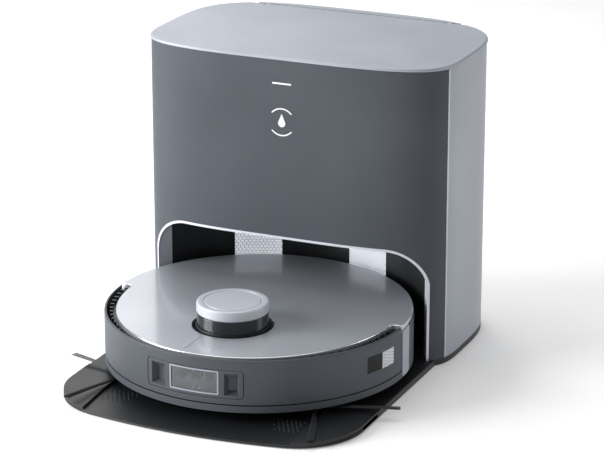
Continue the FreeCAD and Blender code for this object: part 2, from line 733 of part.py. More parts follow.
def upper_deck():
    """The inner frame: a round wall, the deck on top of it and the ribs beside the cover."""
    plate = rod(DECK_R, DECK_Z, DECK_Z + DECK_T)
    wall = rod(DECK_R, LIP_TOP, DECK_Z).cut(rod(DECK_R - DECK_WALL_T, LIP_TOP, DECK_Z))
    room = BEZEL_HALF + 3
    camera_room = sector(DECK_R + 2, DECK_R - 6, -room, room, BEZEL_Z[0] - 3, BEZEL_Z[1] + 3)
    bin_room = box(-BIN_HALF - 0.6, BIN_HALF + 0.6, BIN_Y[0] - 0.6, BIN_Y[1] + 0.6, 0, 90)
    wheel_rooms = side_pair(box(
        WHEEL_X - 1.5, WHEEL_X + WHEEL_W + 1.5, WHEEL_Y - 37, WHEEL_Y + 37, DECK_Z - 1, COVER_TOP))
    rotor_hole = rod(ROTOR_SHAFT_R + 0.5, 0, 90, 0, TURRET_Y)
    ribs = []
    for i in range(12):
        start = 40 + 4 * i
        inner = COVER_FRONT_HALF + 7.2 - 0.45 * i
        rib = sector(DECK_R, inner, start, start + 1.2, DECK_Z + DECK_T - 1, DECK_Z + 7)
        ribs += side_pair(rib)
    frame = union([plate, wall] + ribs)
    cover_room = cover_prism(COVER_GAP, DECK_Z + DECK_T, 90)
    return cut(frame, camera_room, bin_room, rotor_hole, cover_room, *wheel_rooms)


def side_wall():
    start = PILLAR_END + 0.1
    wall = sector(ROBOT_R, ROBOT_R - WALL_T, start, 360 - start, LIP_TOP, DECK_Z + DECK_T)
    return cut(wall, *contact_plates())


def side_pillars():
    pillar = sector(ROBOT_R, ROBOT_R - WALL_T, PILLAR_START, PILLAR_END, FLOOR_CLEAR, DECK_Z + DECK_T)
    return Part.makeCompound(side_pair(pillar))


def contact_plates():
    low, high = CONTACT_Z - 7, CONTACT_Z + 7
    spans = ((180 + 3.5, 180 + 8.5), (180 - 8.5, 180 - 3.5))
    return [sector(ROBOT_R, ROBOT_R - 1.2, a0, a1, low, high) for a0, a1 in spans]


def cover_prism(grow, z0, z1):
    """The cover's plan: a round back and a slightly narrower elliptic front."""
    back = COVER_BACK_R + grow
    half = COVER_FRONT_HALF + grow
    reach = COVER_FRONT_LEN + grow
    ellipse = Part.Ellipse(V(0, -reach, z0), V(half, 0, z0), V(0, 0, z0))
    front = Part.Face(Part.Wire(ellipse.toShape())).extrude(V(0, 0, z1 - z0))
    rear = rod(back, z0, z1).common(box(-back, back, -grow, back, z0, z1))
    return union([front.common(box(-half, half, -reach, -grow, z0, z1)), rear])


def top_cover():
    low = DECK_Z + DECK_T + COVER_GAP
    slab = cover_prism(0, low, COVER_TOP)
    boss = rod(TURRET_HOLE_R + 4, low, COVER_TOP, 0, TURRET_Y)
    hollow = rod(COVER_FRONT_HALF - 6, low, COVER_TOP - COVER_SKIN).cut(boss)
    x0, x1 = BUTTON_X
    y0, y1 = BUTTON_Y
    frame = box(x0 - 3, x1 + 3, y0 - 3, y1 + 3, low, COVER_TOP)
    hollow = hollow.cut(frame)
    key_hole = box(x0 - BODY_GAP, x1 + BODY_GAP, y0 - BODY_GAP, y1 + BODY_GAP, low, COVER_TOP)
    return cut(slab, hollow, rod(TURRET_HOLE_R, low, COVER_TOP, 0, TURRET_Y), key_hole)


def start_button():
    return box(BUTTON_X[0], BUTTON_X[1], BUTTON_Y[0], BUTTON_Y[1], BUTTON_LOW, COVER_TOP)


# ---------------------------------------------------------------- robot: bumper and eyes
def bumper():
    wall = sector(ROBOT_R, ROBOT_R - BUMPER_T, -BUMPER_END, BUMPER_END, BUMPER_BOTTOM, BUMPER_TOP)
    eye_hole = sector(ROBOT_R + 2, ROBOT_R - 6, -BEZEL_HALF, BEZEL_HALF, BEZEL_Z[0], BEZEL_Z[1])
    side_holes = [side_window(), side_marker()]
    return cut(wall, eye_hole, *side_holes)


def side_window():
    return sector(ROBOT_R, ROBOT_R - BUMPER_T, SIDE_WINDOW[0], SIDE_WINDOW[1], *SIDE_WINDOW_Z)


def side_marker():
    return sector(ROBOT_R, ROBOT_R - BUMPER_T, SIDE_MARK[0], SIDE_MARK[1], *SIDE_MARK_Z)


def camera_bezel():
    block = sector(ROBOT_R, ROBOT_R - BEZEL_DEPTH, -BEZEL_HALF, BEZEL_HALF, *BEZEL_Z)
    wells = [sector(ROBOT_R + 1, ROBOT_R - WELL_DEPTH, a0, a1, *WELL_Z) for a0, a1 in WELLS]
    window = sector(ROBOT_R + 1, ROBOT_R - BEZEL_DEPTH - 1, EYE_WINDOW[0], EYE_WINDOW[1], *EYE_WINDOW_Z)
    return cut(block, window, *wells)


def camera_window():
    return sector(ROBOT_R - 0.8, ROBOT_R - 2.4, EYE_WINDOW[0], EYE_WINDOW[1], *EYE_WINDOW_Z)


def camera_module():
    front = ROBOT_R - BEZEL_DEPTH
    body = sector(front, MODULE_BACK_R, -BEZEL_HALF + 3, BEZEL_HALF - 3, BEZEL_Z[0] + 2, BEZEL_Z[1] - 2)
    lenses = []
    for angle in LENS_ANGLES:
        lenses.append(Part.makeCylinder(LENS_R, 7, polar(front - 1, angle, LENS_Z), polar(1, angle)))
    return union([body] + lenses)


# ---------------------------------------------------------------- robot: turret
def turret_base():
    z0 = DECK_Z + DECK_T
    z1 = TURRET_BAND_Z[0]
    base = rod(TURRET_FLANGE_R, z0, z1, 0, TURRET_Y)
    dish = rod(ROTOR_R + 4, z0 + 2, z1, 0, TURRET_Y)
    return cut(base, dish, rod(ROTOR_SHAFT_R + RUN_FIT, z0, z1, 0, TURRET_Y))


def turret_window():
    r = TURRET_R - 0.4
    return cut(rod(r, *TURRET_BAND_Z, 0, TURRET_Y), rod(r - TURRET_BAND_T, *TURRET_BAND_Z, 0, TURRET_Y))


def turret_cap():
    z0, z1 = TURRET_CAP_Z
    ceiling = z1 - TURRET_CAP_T
    outer = rod(TURRET_R, z0, z1, 0, TURRET_Y)
    hollow = rod(TURRET_R - 3, z0, ceiling, 0, TURRET_Y)
    guide_out = TURRET_R - 0.4 - TURRET_BAND_T - 0.4
    skirt = rod(guide_out, z0 - 5, ceiling + 1, 0, TURRET_Y)
    guide = skirt.cut(rod(guide_out - 1.6, z0 - 5, ceiling, 0, TURRET_Y))
    return union([outer.cut(hollow), guide])


def lidar_rotor():
    drum = rod(ROTOR_R, *ROTOR_Z, 0, TURRET_Y)
    face = box(-ROTOR_R, ROTOR_R, TURRET_Y - ROTOR_R, TURRET_Y - ROTOR_R + 8, ROTOR_Z[0] + 3, ROTOR_Z[1])
    shaft = rod(ROTOR_SHAFT_R, DECK_Z - 6, ROTOR_Z[0] + 1, 0, TURRET_Y)
    return union([drum.cut(face), shaft])


# ---------------------------------------------------------------- robot: cleaning and drive
def dust_bin():
    outer = box(-BIN_HALF, BIN_HALF, *BIN_Y, *BIN_Z)
    y0, y1 = BIN_Y
    z0, z1 = BIN_Z
    half = BIN_HALF - BIN_T
    inner = box(-half, half, y0 + BIN_T, y1 - BIN_T, z0 + BIN_T, z1 - BIN_T)
    intake = box(-34, 34, BIN_Y[0] - 1, BIN_Y[0] + BIN_T, 30, 46)
    return cut(outer, inner, intake)


def brush_housing():
    outer = box(-HOUSING_HALF, HOUSING_HALF, *HOUSING_Y, FLOOR_CLEAR + CHASSIS_T, HOUSING_TOP)
    half = BRUSH_HALF + 2
    bore = rod_x(HOUSING_BORE, -half, half, BRUSH_Y, BRUSH_Z)
    mouth = box(-half, half, BRUSH_Y - HOUSING_BORE, BRUSH_Y + HOUSING_BORE, 0, BRUSH_Z)
    journals = rod_x(5 + RUN_FIT, -HOUSING_HALF, HOUSING_HALF, BRUSH_Y, BRUSH_Z)
    duct = box(-34, 34, BRUSH_Y, HOUSING_Y[1] + 1, 31, 44)
    return cut(outer, bore, mouth, journals, duct)


def main_brush():
    core = rod_x(BRUSH_CORE_R, -BRUSH_HALF, BRUSH_HALF, BRUSH_Y, BRUSH_Z)
    axle = rod_x(5, -HOUSING_HALF + 1, HOUSING_HALF - 1, BRUSH_Y, BRUSH_Z)
    fins = []
    for i in range(BRUSH_FINS):
        fin = box(-BRUSH_HALF, BRUSH_HALF, -1.2, 1.2, 0, BRUSH_R)
        fin.rotate(V(0, 0, 0), V(1, 0, 0), 360 / BRUSH_FINS * i)
        fins.append(fin.translated(V(0, BRUSH_Y, BRUSH_Z)))
    return union([core, axle] + fins)


def side_brush():
    """The right-hand side brush: a hub and its bristle tufts."""
    x, y = SIDE_BRUSH_X, SIDE_BRUSH_Y
    parts = [rod(HUB_R, TUFT_Z[0], FLOOR_CLEAR - 0.4, x, y), rod(SHAFT_R, TUFT_Z[0], 32, x, y)]
    for i in range(SIDE_BRUSH_TUFTS):
        tuft = box(0, SIDE_BRUSH_REACH, -TUFT_W / 2, TUFT_W / 2, *TUFT_Z)
        tuft.rotate(V(0, 0, 0), V(0, 0, 1), SIDE_BRUSH_START + 360 / SIDE_BRUSH_TUFTS * i)
        parts.append(tuft.translated(V(x, y, 0)))
    return union(parts)


def side_brush_motors():
    motor = rod(12.5, FLOOR_CLEAR + CHASSIS_T, 46, SIDE_BRUSH_X, SIDE_BRUSH_Y)
    return Part.makeCompound(side_pair(cut(motor, rod(SHAFT_R + RUN_FIT, 0, 33, SIDE_BRUSH_X, SIDE_BRUSH_Y))))


def wheel_arm():
    """The right-hand sprung arm with its wheel motor and stub axle."""
    block = box(*ARM_X, *ARM_Y, *ARM_Z)
    pivot = rod_x(PIVOT_R + RUN_FIT, ARM_X[0] - 1, ARM_X[1] - 0.6, PIVOT_Y, PIVOT_Z)
    axle = rod_x(AXLE_R, ARM_X[1] - 2, WHEEL_X + WHEEL_W - 2, WHEEL_Y, WHEEL_R)
    return union([block.cut(pivot), axle])


def drive_wheel():
    tyre = rod_x(WHEEL_R, WHEEL_X, WHEEL_X + WHEEL_W, WHEEL_Y, WHEEL_R)
    grooves = []
    for i in range(18):
        groove = box(WHEEL_X, WHEEL_X + WHEEL_W, -1.5, 1.5, WHEEL_R - 2, WHEEL_R + 2)
        groove.rotate(V(0, 0, 0), V(1, 0, 0), 20 * i + 10)
        grooves.append(groove.translated(V(0, WHEEL_Y, WHEEL_R)))
    dish = rod_x(WHEEL_R - 8, WHEEL_X + WHEEL_W - 4, WHEEL_X + WHEEL_W, WHEEL_Y, WHEEL_R)
    bore = rod_x(AXLE_R + RUN_FIT, WHEEL_X - 1, WHEEL_X + WHEEL_W - 1.5, WHEEL_Y, WHEEL_R)
    return cut(tyre, bore, dish, *grooves)


def caster_fork():
    body = rod(FORK_R, *FORK_Z, 0, CASTER_Y)
    half = CASTER_W / 2 + BODY_GAP
    slot = box(-half, half, CASTER_Y - 20, CASTER_Y + 20, 0, 2 * CASTER_R + 1.2)
    stem = rod(FORK_STEM_R, FORK_Z[1] - 1, FORK_Z[1] + 13, 0, CASTER_Y)
    bore = rod_x(CASTER_AXLE_R + RUN_FIT, -20, 20, CASTER_Y + CASTER_TRAIL, CASTER_R)
    return cut(union([body.cut(slot), stem]), bore)


def caster_wheel():
    y = CASTER_Y + CASTER_TRAIL
    wheel = rod_x(CASTER_R, -CASTER_W / 2, CASTER_W / 2, y, CASTER_R)
    return union([wheel, rod_x(CASTER_AXLE_R, -CASTER_W / 2 - 6, CASTER_W / 2 + 6, y, CASTER_R)])


def mop_gearbox():
    case = box(-GEARBOX_HALF, GEARBOX_HALF, *GEARBOX_Y, FLOOR_CLEAR + CHASSIS_T, GEARBOX_TOP)
    bores = [rod(MOP_SHAFT_R + RUN_FIT, 0, GEARBOX_TOP - 3, side * MOP_X, MOP_Y) for side in (-1, 1)]
    return cut(case, *bores)


def mop_disc():
    disc = rod(MOP_DISC_R, MOP_PAD_Z[1], MOP_DISC_TOP, MOP_X, MOP_Y)
    return union([disc, rod(MOP_SHAFT_R, MOP_PAD_Z[1], GEARBOX_TOP - 6, MOP_X, MOP_Y)])


def mop_pad():
    return rod(MOP_R, *MOP_PAD_Z, MOP_X, MOP_Y)


def fan_unit():
    low = FLOOR_CLEAR + CHASSIS_T
    return union([rod(20, low, 44, *SUCTION_PLACE), rod(14, 44, 60, *SUCTION_PLACE)])


def battery():
    return box(-BATTERY_HALF, BATTERY_HALF, *BATTERY_Y, GEARBOX_TOP, BATTERY_TOP)


def main_board():
    x0, x1 = MAIN_BOARD_X
    y0, y1 = MAIN_BOARD_Y
    board = box(x0, x1, y0, y1, POST_TOP, POST_TOP + 1.6)
    starts = [x0 + 7 + 22 * i for i in range(3)]
    chips = [box(x, x + 14, y0 + 10, y0 + 24, POST_TOP + 1, POST_TOP + 4) for x in starts]
    return union([board] + chips)


def robot_screws():
    screws = []
    for x, y in screw_places():
        head = rod(3, FLOOR_CLEAR - 1, FLOOR_CLEAR, x, y)
        screws.append(union([head, rod(1.5, FLOOR_CLEAR - 0.5, FLOOR_CLEAR + CHASSIS_T, x, y)]))
    return Part.makeCompound(screws)


# ---------------------------------------------------------------- write every piece
def main():
    os.makedirs("parts", exist_ok=True)
    save("base_tray", base_tray())
    save("station_feet", station_feet())
    save("wash_basin", wash_basin())
    save("front_panel", front_panel())
    save("rear_shell", rear_shell())
    save("arch_trim", arch_trim())
    save("bay_liner", bay_liner())
    save("dock_markers", Part.makeCompound(dock_marker_solids()))
    save("charge_plungers", charge_plungers())
    save("station_lid", station_lid())
    save("hinge_pin", hinge_pin())
    save("mains_inlet", mains_inlet())
    save("emblem", Part.makeCompound(drop_emblem()))
    save("status_light", status_light()[0])
    save("tank_deck", tank_deck())
    for name, side in (("clean", -1), ("waste", 1)):
        save(name + "_tank", tank(side))
        save(name + "_tank_cap", tank_cap(side))
    save("power_board", power_board())
    save("pump_pair", pump_pair())
    save("dryer_fan", dryer_fan())

    singles = {
        "chassis": chassis, "upper_deck": upper_deck, "side_wall": side_wall,
        "side_pillars": side_pillars, "top_cover": top_cover, "start_button": start_button,
        "bumper": bumper, "side_window": side_window, "side_marker": side_marker,
        "camera_bezel": camera_bezel, "camera_window": camera_window,
        "camera_module": camera_module, "turret_base": turret_base,
        "turret_window": turret_window, "turret_cap": turret_cap, "lidar_rotor": lidar_rotor,
        "dust_bin": dust_bin, "brush_housing": brush_housing, "main_brush": main_brush,
        "side_brush_motors": side_brush_motors, "caster_fork": caster_fork,
        "caster_wheel": caster_wheel, "mop_gearbox": mop_gearbox, "fan_unit": fan_unit,
        "battery": battery, "main_board": main_board, "robot_screws": robot_screws,
    }
    for name, build in singles.items():
        save_robot(name, build())
    save_robot("charge_plates", Part.makeCompound(contact_plates()))
    pairs = {
        "side_brush": side_brush, "wheel_arm": wheel_arm, "drive_wheel": drive_wheel,
        "mop_disc": mop_disc, "mop_pad": mop_pad,
    }
    for name, build in pairs.items():
        right = build()
        save_robot(name + "_right", right)
        save_robot(name + "_left", mirrored(right))


main()
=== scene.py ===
# %% [markdown]
# # A robot vacuum parked in its washing and charging station
# The station is a tall moulded casing with a hinged lid, a graphite front panel and an arched
# bay. The robot stands in the bay on a low black tray. The solid model already fixes every size
# and every moving joint, so this lesson loads it and then gives each visible piece its finish.

# %% Loading the solid model
import math
import random

import bmesh
import bpy
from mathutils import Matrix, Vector


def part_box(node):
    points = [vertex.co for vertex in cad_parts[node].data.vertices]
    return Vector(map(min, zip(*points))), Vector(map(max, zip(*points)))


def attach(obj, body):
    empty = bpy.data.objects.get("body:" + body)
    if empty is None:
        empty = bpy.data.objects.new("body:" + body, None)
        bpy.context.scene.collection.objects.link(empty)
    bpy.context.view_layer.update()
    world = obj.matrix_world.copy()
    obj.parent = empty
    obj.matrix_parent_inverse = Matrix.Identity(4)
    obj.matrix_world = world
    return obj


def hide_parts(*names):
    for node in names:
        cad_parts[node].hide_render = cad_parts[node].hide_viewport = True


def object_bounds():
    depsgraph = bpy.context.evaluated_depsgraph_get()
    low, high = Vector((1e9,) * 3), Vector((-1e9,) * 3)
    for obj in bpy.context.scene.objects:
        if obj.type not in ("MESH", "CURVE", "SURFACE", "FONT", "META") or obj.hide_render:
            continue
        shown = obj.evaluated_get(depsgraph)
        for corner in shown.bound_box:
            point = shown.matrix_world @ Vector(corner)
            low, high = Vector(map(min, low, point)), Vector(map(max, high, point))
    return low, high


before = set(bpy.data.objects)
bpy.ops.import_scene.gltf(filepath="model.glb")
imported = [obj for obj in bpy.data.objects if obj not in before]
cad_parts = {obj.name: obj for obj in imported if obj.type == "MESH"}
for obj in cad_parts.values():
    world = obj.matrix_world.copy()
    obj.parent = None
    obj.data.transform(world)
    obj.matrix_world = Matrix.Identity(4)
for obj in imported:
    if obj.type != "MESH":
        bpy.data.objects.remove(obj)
cad_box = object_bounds()
MM = 0.001
random.seed(7)
print("nodes:", len(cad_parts), "box:", cad_box)

# %% [markdown]
# A product picture is taken from a little above and to one side with a long lens, which keeps
# upright edges nearly parallel. The camera is placed by its angle round the object, its height
# above the floor and its distance, and it is turned to look at one point.

# %% The camera
AIM = Vector((0.041078, -0.016759, 0.175233))
VIEW_AZIMUTH = math.radians(23.92)
VIEW_ELEVATION = math.radians(18.582)
VIEW_DISTANCE = 3.15673
away = Vector((
    math.cos(VIEW_ELEVATION) * math.sin(VIEW_AZIMUTH),
    -math.cos(VIEW_ELEVATION) * math.cos(VIEW_AZIMUTH),
    math.sin(VIEW_ELEVATION),
))
bpy.ops.object.select_all(action="DESELECT")
bpy.ops.object.camera_add(location=AIM + away * VIEW_DISTANCE)
camera = bpy.context.active_object
camera.name = "studio_camera"
camera.data.lens = 161.78
camera.data.sensor_width = 36.0
camera.rotation_euler = away.to_track_quat("Z", "Y").to_euler()
bpy.context.scene.camera = camera
print("camera at", camera.location)

# %% [markdown]
# The studio is a pale floor that runs back out of sight, and four soft boxes. The large one at
# the front left makes the long gradient on the curved front panel, the one above lights the lid
# and the robot's cover, the narrow one behind draws the bright rims, and the one at the rear
# right lifts the dark side and leaves the front alone. A pale world fills what the boxes leave.

# %% The studio
def soft_box(name, place, aim, size, power):
    """A rectangular area light that faces a point."""
    bpy.ops.object.light_add(type="AREA", location=place)
    light = bpy.context.active_object
    light.name = name
    light.data.shape = "RECTANGLE"
    light.data.size = size[0]
    light.data.size_y = size[1]
    light.data.energy = power
    facing = Vector(place) - Vector(aim)
    light.rotation_euler = facing.to_track_quat("Z", "Y").to_euler()


soft_box("key_box", (-2.5, -1.5, 1.1), (0, 0, 0.2), (1.8, 1.9), 132)
soft_box("top_box", (-0.5, 0.5, 2.3), (0, 0, 0.2), (2.2, 1.8), 26)
soft_box("rim_box", (-1.3, 1.7, 1.3), (0, 0, 0.3), (0.9, 1.3), 8)
soft_box("side_box", (2.3, 1.2, 1.0), (0, 0, 0.15), (0.9, 1.2), 9)

# The world is a weak, even white that only fills the shadows.
world = bpy.data.worlds.new("pale_studio")
bpy.context.scene.world = world
world.use_nodes = True
world_tree = world.node_tree
fill = world_tree.nodes["Background"]
fill.inputs["Color"].default_value = (1.0, 1.0, 1.0, 1.0)
fill.inputs["Strength"].default_value = 0.30
bpy.context.scene.view_settings.view_transform = "Standard"


# %% [markdown]
# Every finish below is built from nodes. One function adds a node: its inputs are given by name,
# and an input may be a number, a colour or the output of an earlier node. Small functions add the
# nodes that keep coming back. Colours are written as the hex values a designer would quote and
# turned into linear light by one function.

# %% Colour and node helpers
def linear(hex_value):
    """An sRGB hex colour as linear light with alpha."""
    channels = []
    for start in (1, 3, 5):
        c = int(hex_value[start:start + 2], 16) / 255
        channels.append(c / 12.92 if c <= 0.04045 else ((c + 0.055) / 1.055) ** 2.4)
    return (*channels, 1.0)


def add_node(tree, kind, inputs=None, **settings):
    """Adds one node, applies its settings, and fills or links its inputs."""
    made = tree.nodes.new(kind)
    for key, value in settings.items():
        setattr(made, key, value)
    for key, value in (inputs or {}).items():
        if isinstance(value, bpy.types.NodeSocket):
            tree.links.new(value, made.inputs[key])
        else:
            made.inputs[key].default_value = value
    return made


def new_material(name):
    """An empty material, its node tree, and object coordinates to hang patterns on."""
    material = bpy.data.materials.new(name)
    material.use_nodes = True
    tree = material.node_tree
    tree.nodes.clear()
    place = add_node(tree, "ShaderNodeTexCoord").outputs["Object"]
    return material, tree, place


def two_tones(tree, driver, low, high, spread=(0.35, 0.65)):
    """A colour that moves between two hex tones as the driver goes through the spread."""
    ramp = add_node(tree, "ShaderNodeValToRGB", {"Fac": driver})
    ramp.color_ramp.elements[0].position = spread[0]
    ramp.color_ramp.elements[0].color = linear(low)
    ramp.color_ramp.elements[1].position = spread[1]
    ramp.color_ramp.elements[1].color = linear(high)
    return ramp.outputs["Color"]


def noise(tree, place, scale, detail=2.0):
    """A cloudy pattern between 0 and 1."""
    return add_node(tree, "ShaderNodeTexNoise",
                    {"Vector": place, "Scale": scale, "Detail": detail}).outputs["Fac"]


def between(tree, driver, low, high):
    """A number that moves from low to high with the driver."""
    return add_node(tree, "ShaderNodeMapRange",
                    {"Value": driver, "To Min": low, "To Max": high}).outputs["Result"]


def relief(tree, height, strength, distance, **settings):
    """The tilt of a surface that rises and falls with a pattern."""
    return add_node(tree, "ShaderNodeBump", {"Height": height, "Strength": strength, "Distance": distance},
                    **settings).outputs["Normal"]


def reckon(tree, operation, *values, kind="ShaderNodeMath"):
    """One step of arithmetic."""
    return add_node(tree, kind, dict(enumerate(values)), operation=operation).outputs[0]


def close(tree, inputs):
    """The surface shader and the output that every finish ends with."""
    shader = add_node(tree, "ShaderNodeBsdfPrincipled", inputs)
    add_node(tree, "ShaderNodeOutputMaterial", {"Surface": shader.outputs["BSDF"]})
    return shader


# %% [markdown]
# **Painted and moulded plastics.** Most of the object is injection-moulded ABS. Under paint it
# keeps a faint orange-peel ripple of about a millimetre, and bare it carries the spark-eroded
# grain of the mould, about half a millimetre. Both are a little noise in bump and in
# roughness, and a slow cloud of colour keeps large faces from looking like one flat swatch.

# %% Painted and moulded plastics
def moulded(name, low, high, metallic, roughness, grain_mm, depth, coat=0.0, ior=1.5):
    """A plastic skin: slow colour cloud, fine grain of the given size, slightly uneven gloss."""
    material, tree, place = new_material(name)
    grain = noise(tree, place, 1.0 / (grain_mm * MM))
    close(tree, {
        "Base Color": two_tones(tree, noise(tree, place, 9.0), low, high),
        "Metallic": metallic,
        "Roughness": between(tree, grain, roughness - 0.04, roughness + 0.04),
        "Normal": relief(tree, grain, depth, 0.1 * MM),
        "Coat Weight": coat,
        "Coat Roughness": 0.25,
        "IOR": ior,
    })
    return material


# Metal-flake silver paint on ABS: satin, slightly blue, no sharp reflections.
silver_paint = moulded("silver_painted_abs", "#a2a7b0", "#aaafb8", 0.20, 0.50, 1.4, 0.10)
# A paler coat of it on the turret's lid.
turret_paint = moulded("pale_silver_painted_abs", "#bfc4cc", "#c8cdd4", 0.20, 0.45, 1.4, 0.08)
# The same paint over a bevelled trim, made paler as a painted highlight, so it reads nearly white where it
# catches the boxes.
painted_highlight_trim = moulded("silver_trim_painted_highlight", "#d3d7df", "#e2e5ea", 0.30, 0.36, 1.4, 0.06)
# Graphite low-gloss lacquer: dark and soft, so the key box spreads into a long gradient.
graphite_paint = moulded("graphite_painted_abs", "#4b4f56", "#50545b", 0.10, 0.50, 1.0, 0.08, ior=1.3)
# Moulded-in dark grey of the robot's bumper, with fine mould grain.
bumper_abs = moulded("grained_graphite_bumper", "#4d5157", "#53575d", 0.08, 0.48, 0.5, 0.15, ior=1.3)
# Spark-eroded black of the tray and the bay.
black_abs = moulded("spark_eroded_black_abs", "#131518", "#1a1c1f", 0.0, 0.46, 0.6, 0.30)
dark_abs = moulded("dark_grey_abs", "#232528", "#2b2e31", 0.1, 0.5, 0.6, 0.25)
# Black rubber of tyres, feet and seals: no gloss at all.
rubber = moulded("moulded_black_rubber", "#131313", "#1c1c1c", 0.0, 0.82, 0.8, 0.5)
print("plastics:", len(bpy.data.materials))


# %% [markdown]
# **Metals.** The robot's cover is a sheet of anodised aluminium brushed in one direction, which
# streaks its reflections across the brushing, under a thin clear sealing coat. The marks are
# noise stretched sixty times longer than wide, with lines about half a millimetre apart.
# Contacts are gold-coloured plated brass, shafts and screws are plain steel.

# %% Metals
def brushed(name, low, high, roughness, line_mm, stretch, depth, metallic=1.0, coat=0.0):
    """A metal whose fine lines run along X."""
    material, tree, place = new_material(name)
    lines = add_node(tree, "ShaderNodeMapping", {"Vector": place, "Scale": (1.0 / stretch, 1.0, 1.0)})
    marks = noise(tree, lines.outputs["Vector"], 1.0 / (line_mm * MM), 3.0)
    close(tree, {
        "Base Color": two_tones(tree, noise(tree, place, 6.0, 1.0), low, high),
        "Metallic": metallic,
        "Roughness": between(tree, marks, roughness - 0.05, roughness + 0.05),
        "Normal": relief(tree, marks, depth, 0.02 * MM),
        "Coat Weight": coat,
        "Coat Roughness": 0.14,
    })
    return material


cover_metal = brushed("brushed_anodised_aluminium", "#b0b5bd", "#babfc6", 0.55, 0.5, 60.0, 0.25, 0.70, 0.75)
rim_metal = brushed("polished_aluminium_edge", "#dfe3e8", "#eceff2", 0.22, 0.4, 20.0, 0.1)
plain_steel = brushed("turned_steel", "#b4b4b2", "#c2c2c0", 0.3, 0.4, 12.0, 0.2)
plated_brass = brushed("gold_plated_brass", "#c9a24a", "#d9b45c", 0.25, 0.4, 12.0, 0.1)
print("metals ready")

# %% [markdown]
# **Clear and smoked parts.** The turret's band is smoked polycarbonate, dark but see-through, so
# that the spinning range finder can look out; its index is polycarbonate's 1.58. The camera
# window is clear glass with a grey tint, and the sensor window and lenses are black glass with
# an anti-reflection coat, given by a low index. The water tanks are milky polypropylene that
# lets light through without a clear picture.

# %% Clear and smoked parts
def clear_part(name, low, high, roughness, transmission, ior):
    """Glass or clear plastic with faint wiping marks."""
    material, tree, place = new_material(name)
    wiping = noise(tree, place, 40.0)
    close(tree, {
        "Base Color": two_tones(tree, wiping, low, high),
        "Roughness": between(tree, wiping, roughness, roughness + 0.05),
        "Transmission Weight": transmission,
        "IOR": ior,
    })
    return material


smoked = clear_part("smoked_polycarbonate", "#25272b", "#2c2f34", 0.06, 0.35, 1.58)
black_glass = clear_part("black_camera_glass", "#0b0c0e", "#101215", 0.03, 0.0, 1.30)
grey_glass = clear_part("tinted_camera_glass", "#c3c8ce", "#ced3d8", 0.05, 0.92, 1.52)
tank_plastic = clear_part("milky_polypropylene", "#b8c2cb", "#c6cfd6", 0.28, 0.55, 1.49)
print("clear parts ready")

# %% [markdown]
# ** Retroreflective film.** The guide patches are film with sealed honeycomb cells about 4 mm
# across. The pattern is worked out from the distance to the nearest cell centre on a hexagonal
# lattice: two square lattices offset by half a step, whichever centre is nearer. The light the
# film sends straight back is a painted glow.

# %% Retroreflective film
def honeycomb(tree, across, up, cell):
    """0 inside a hexagonal cell and 1 on its wall; across and up are lengths in metres."""
    flat = add_node(tree, "ShaderNodeCombineXYZ", {"X": across, "Y": up}).outputs["Vector"]
    step = (cell, cell * math.sqrt(3), 1.0)
    half = (cell / 2, cell * math.sqrt(3) / 2, 0.5)

    def nearest(shift):
        folded = flat
        for operation, values in (("ADD", (shift,)), ("WRAP", (step, (0, 0, 0))), ("SUBTRACT", (half,)),
                                  ("ABSOLUTE", ())):
            folded = reckon(tree, operation, folded, *values, kind="ShaderNodeVectorMath")
        return folded

    def wall_distance(folded):
        split = add_node(tree, "ShaderNodeSeparateXYZ", {"Vector": folded})
        slanted = reckon(tree, "MULTIPLY", split.outputs["X"], 0.5)
        raised = reckon(tree, "MULTIPLY_ADD", split.outputs["Y"], math.sqrt(3) / 2, slanted)
        return reckon(tree, "MAXIMUM", raised, split.outputs["X"])

    first = wall_distance(nearest((100 * cell, 100 * step[1], 0.0)))
    second = wall_distance(nearest((100.5 * cell, 100.5 * step[1], 0.0)))
    return add_node(tree, "ShaderNodeMapRange", {
        "Value": reckon(tree, "MINIMUM", first, second),
        "From Min": cell * 0.36, "From Max": cell * 0.47}).outputs["Result"]


def reflective_film_with_painted_glow(name, cell_mm, low, high, wall, painted_glow_strength):
    """Film with a painted glow: a little emission in its own colour stands in for the light it sends straight
    back.
    """
    material, tree, place = new_material(name)
    split = add_node(tree, "ShaderNodeSeparateXYZ", {"Vector": place})
    walls = honeycomb(tree, split.outputs["X"], split.outputs["Z"], cell_mm * MM)
    tone = two_tones(tree, noise(tree, place, 60.0), low, high)
    colour = add_node(tree, "ShaderNodeMix", {0: walls, 6: tone, 7: linear(wall)}, data_type="RGBA").outputs[2]
    close(tree, {
        "Base Color": colour,
        "Roughness": 0.3,
        "Metallic": 0.1,
        "Normal": relief(tree, walls, 0.5, 0.15 * MM),
        "Coat Weight": 0.4,
        "Coat Roughness": 0.1,
        "Emission Color": colour,
        "Emission Strength": painted_glow_strength,
    })
    return material


# Both films carry a painted glow, emission in place of the light they send back.
guide_film = reflective_film_with_painted_glow("honeycomb_film_painted_glow", 4.2, "#dfe3ea", "#f3f5f8", "#7f8a9d", 0.60)
robot_film = reflective_film_with_painted_glow("robot_film_painted_glow", 2.2, "#b9bcc2", "#cdd0d5", "#8f939a", 0.10)
print("film ready")

# %% [markdown]
# **Cloth, board, light and bristle.** The mop pads are looped microfibre, with loops of about
# 1.5 mm. Circuit boards are green solder mask over copper. The status light is a frosted white
# light guide. Bristles are extruded nylon, smooth and dark.

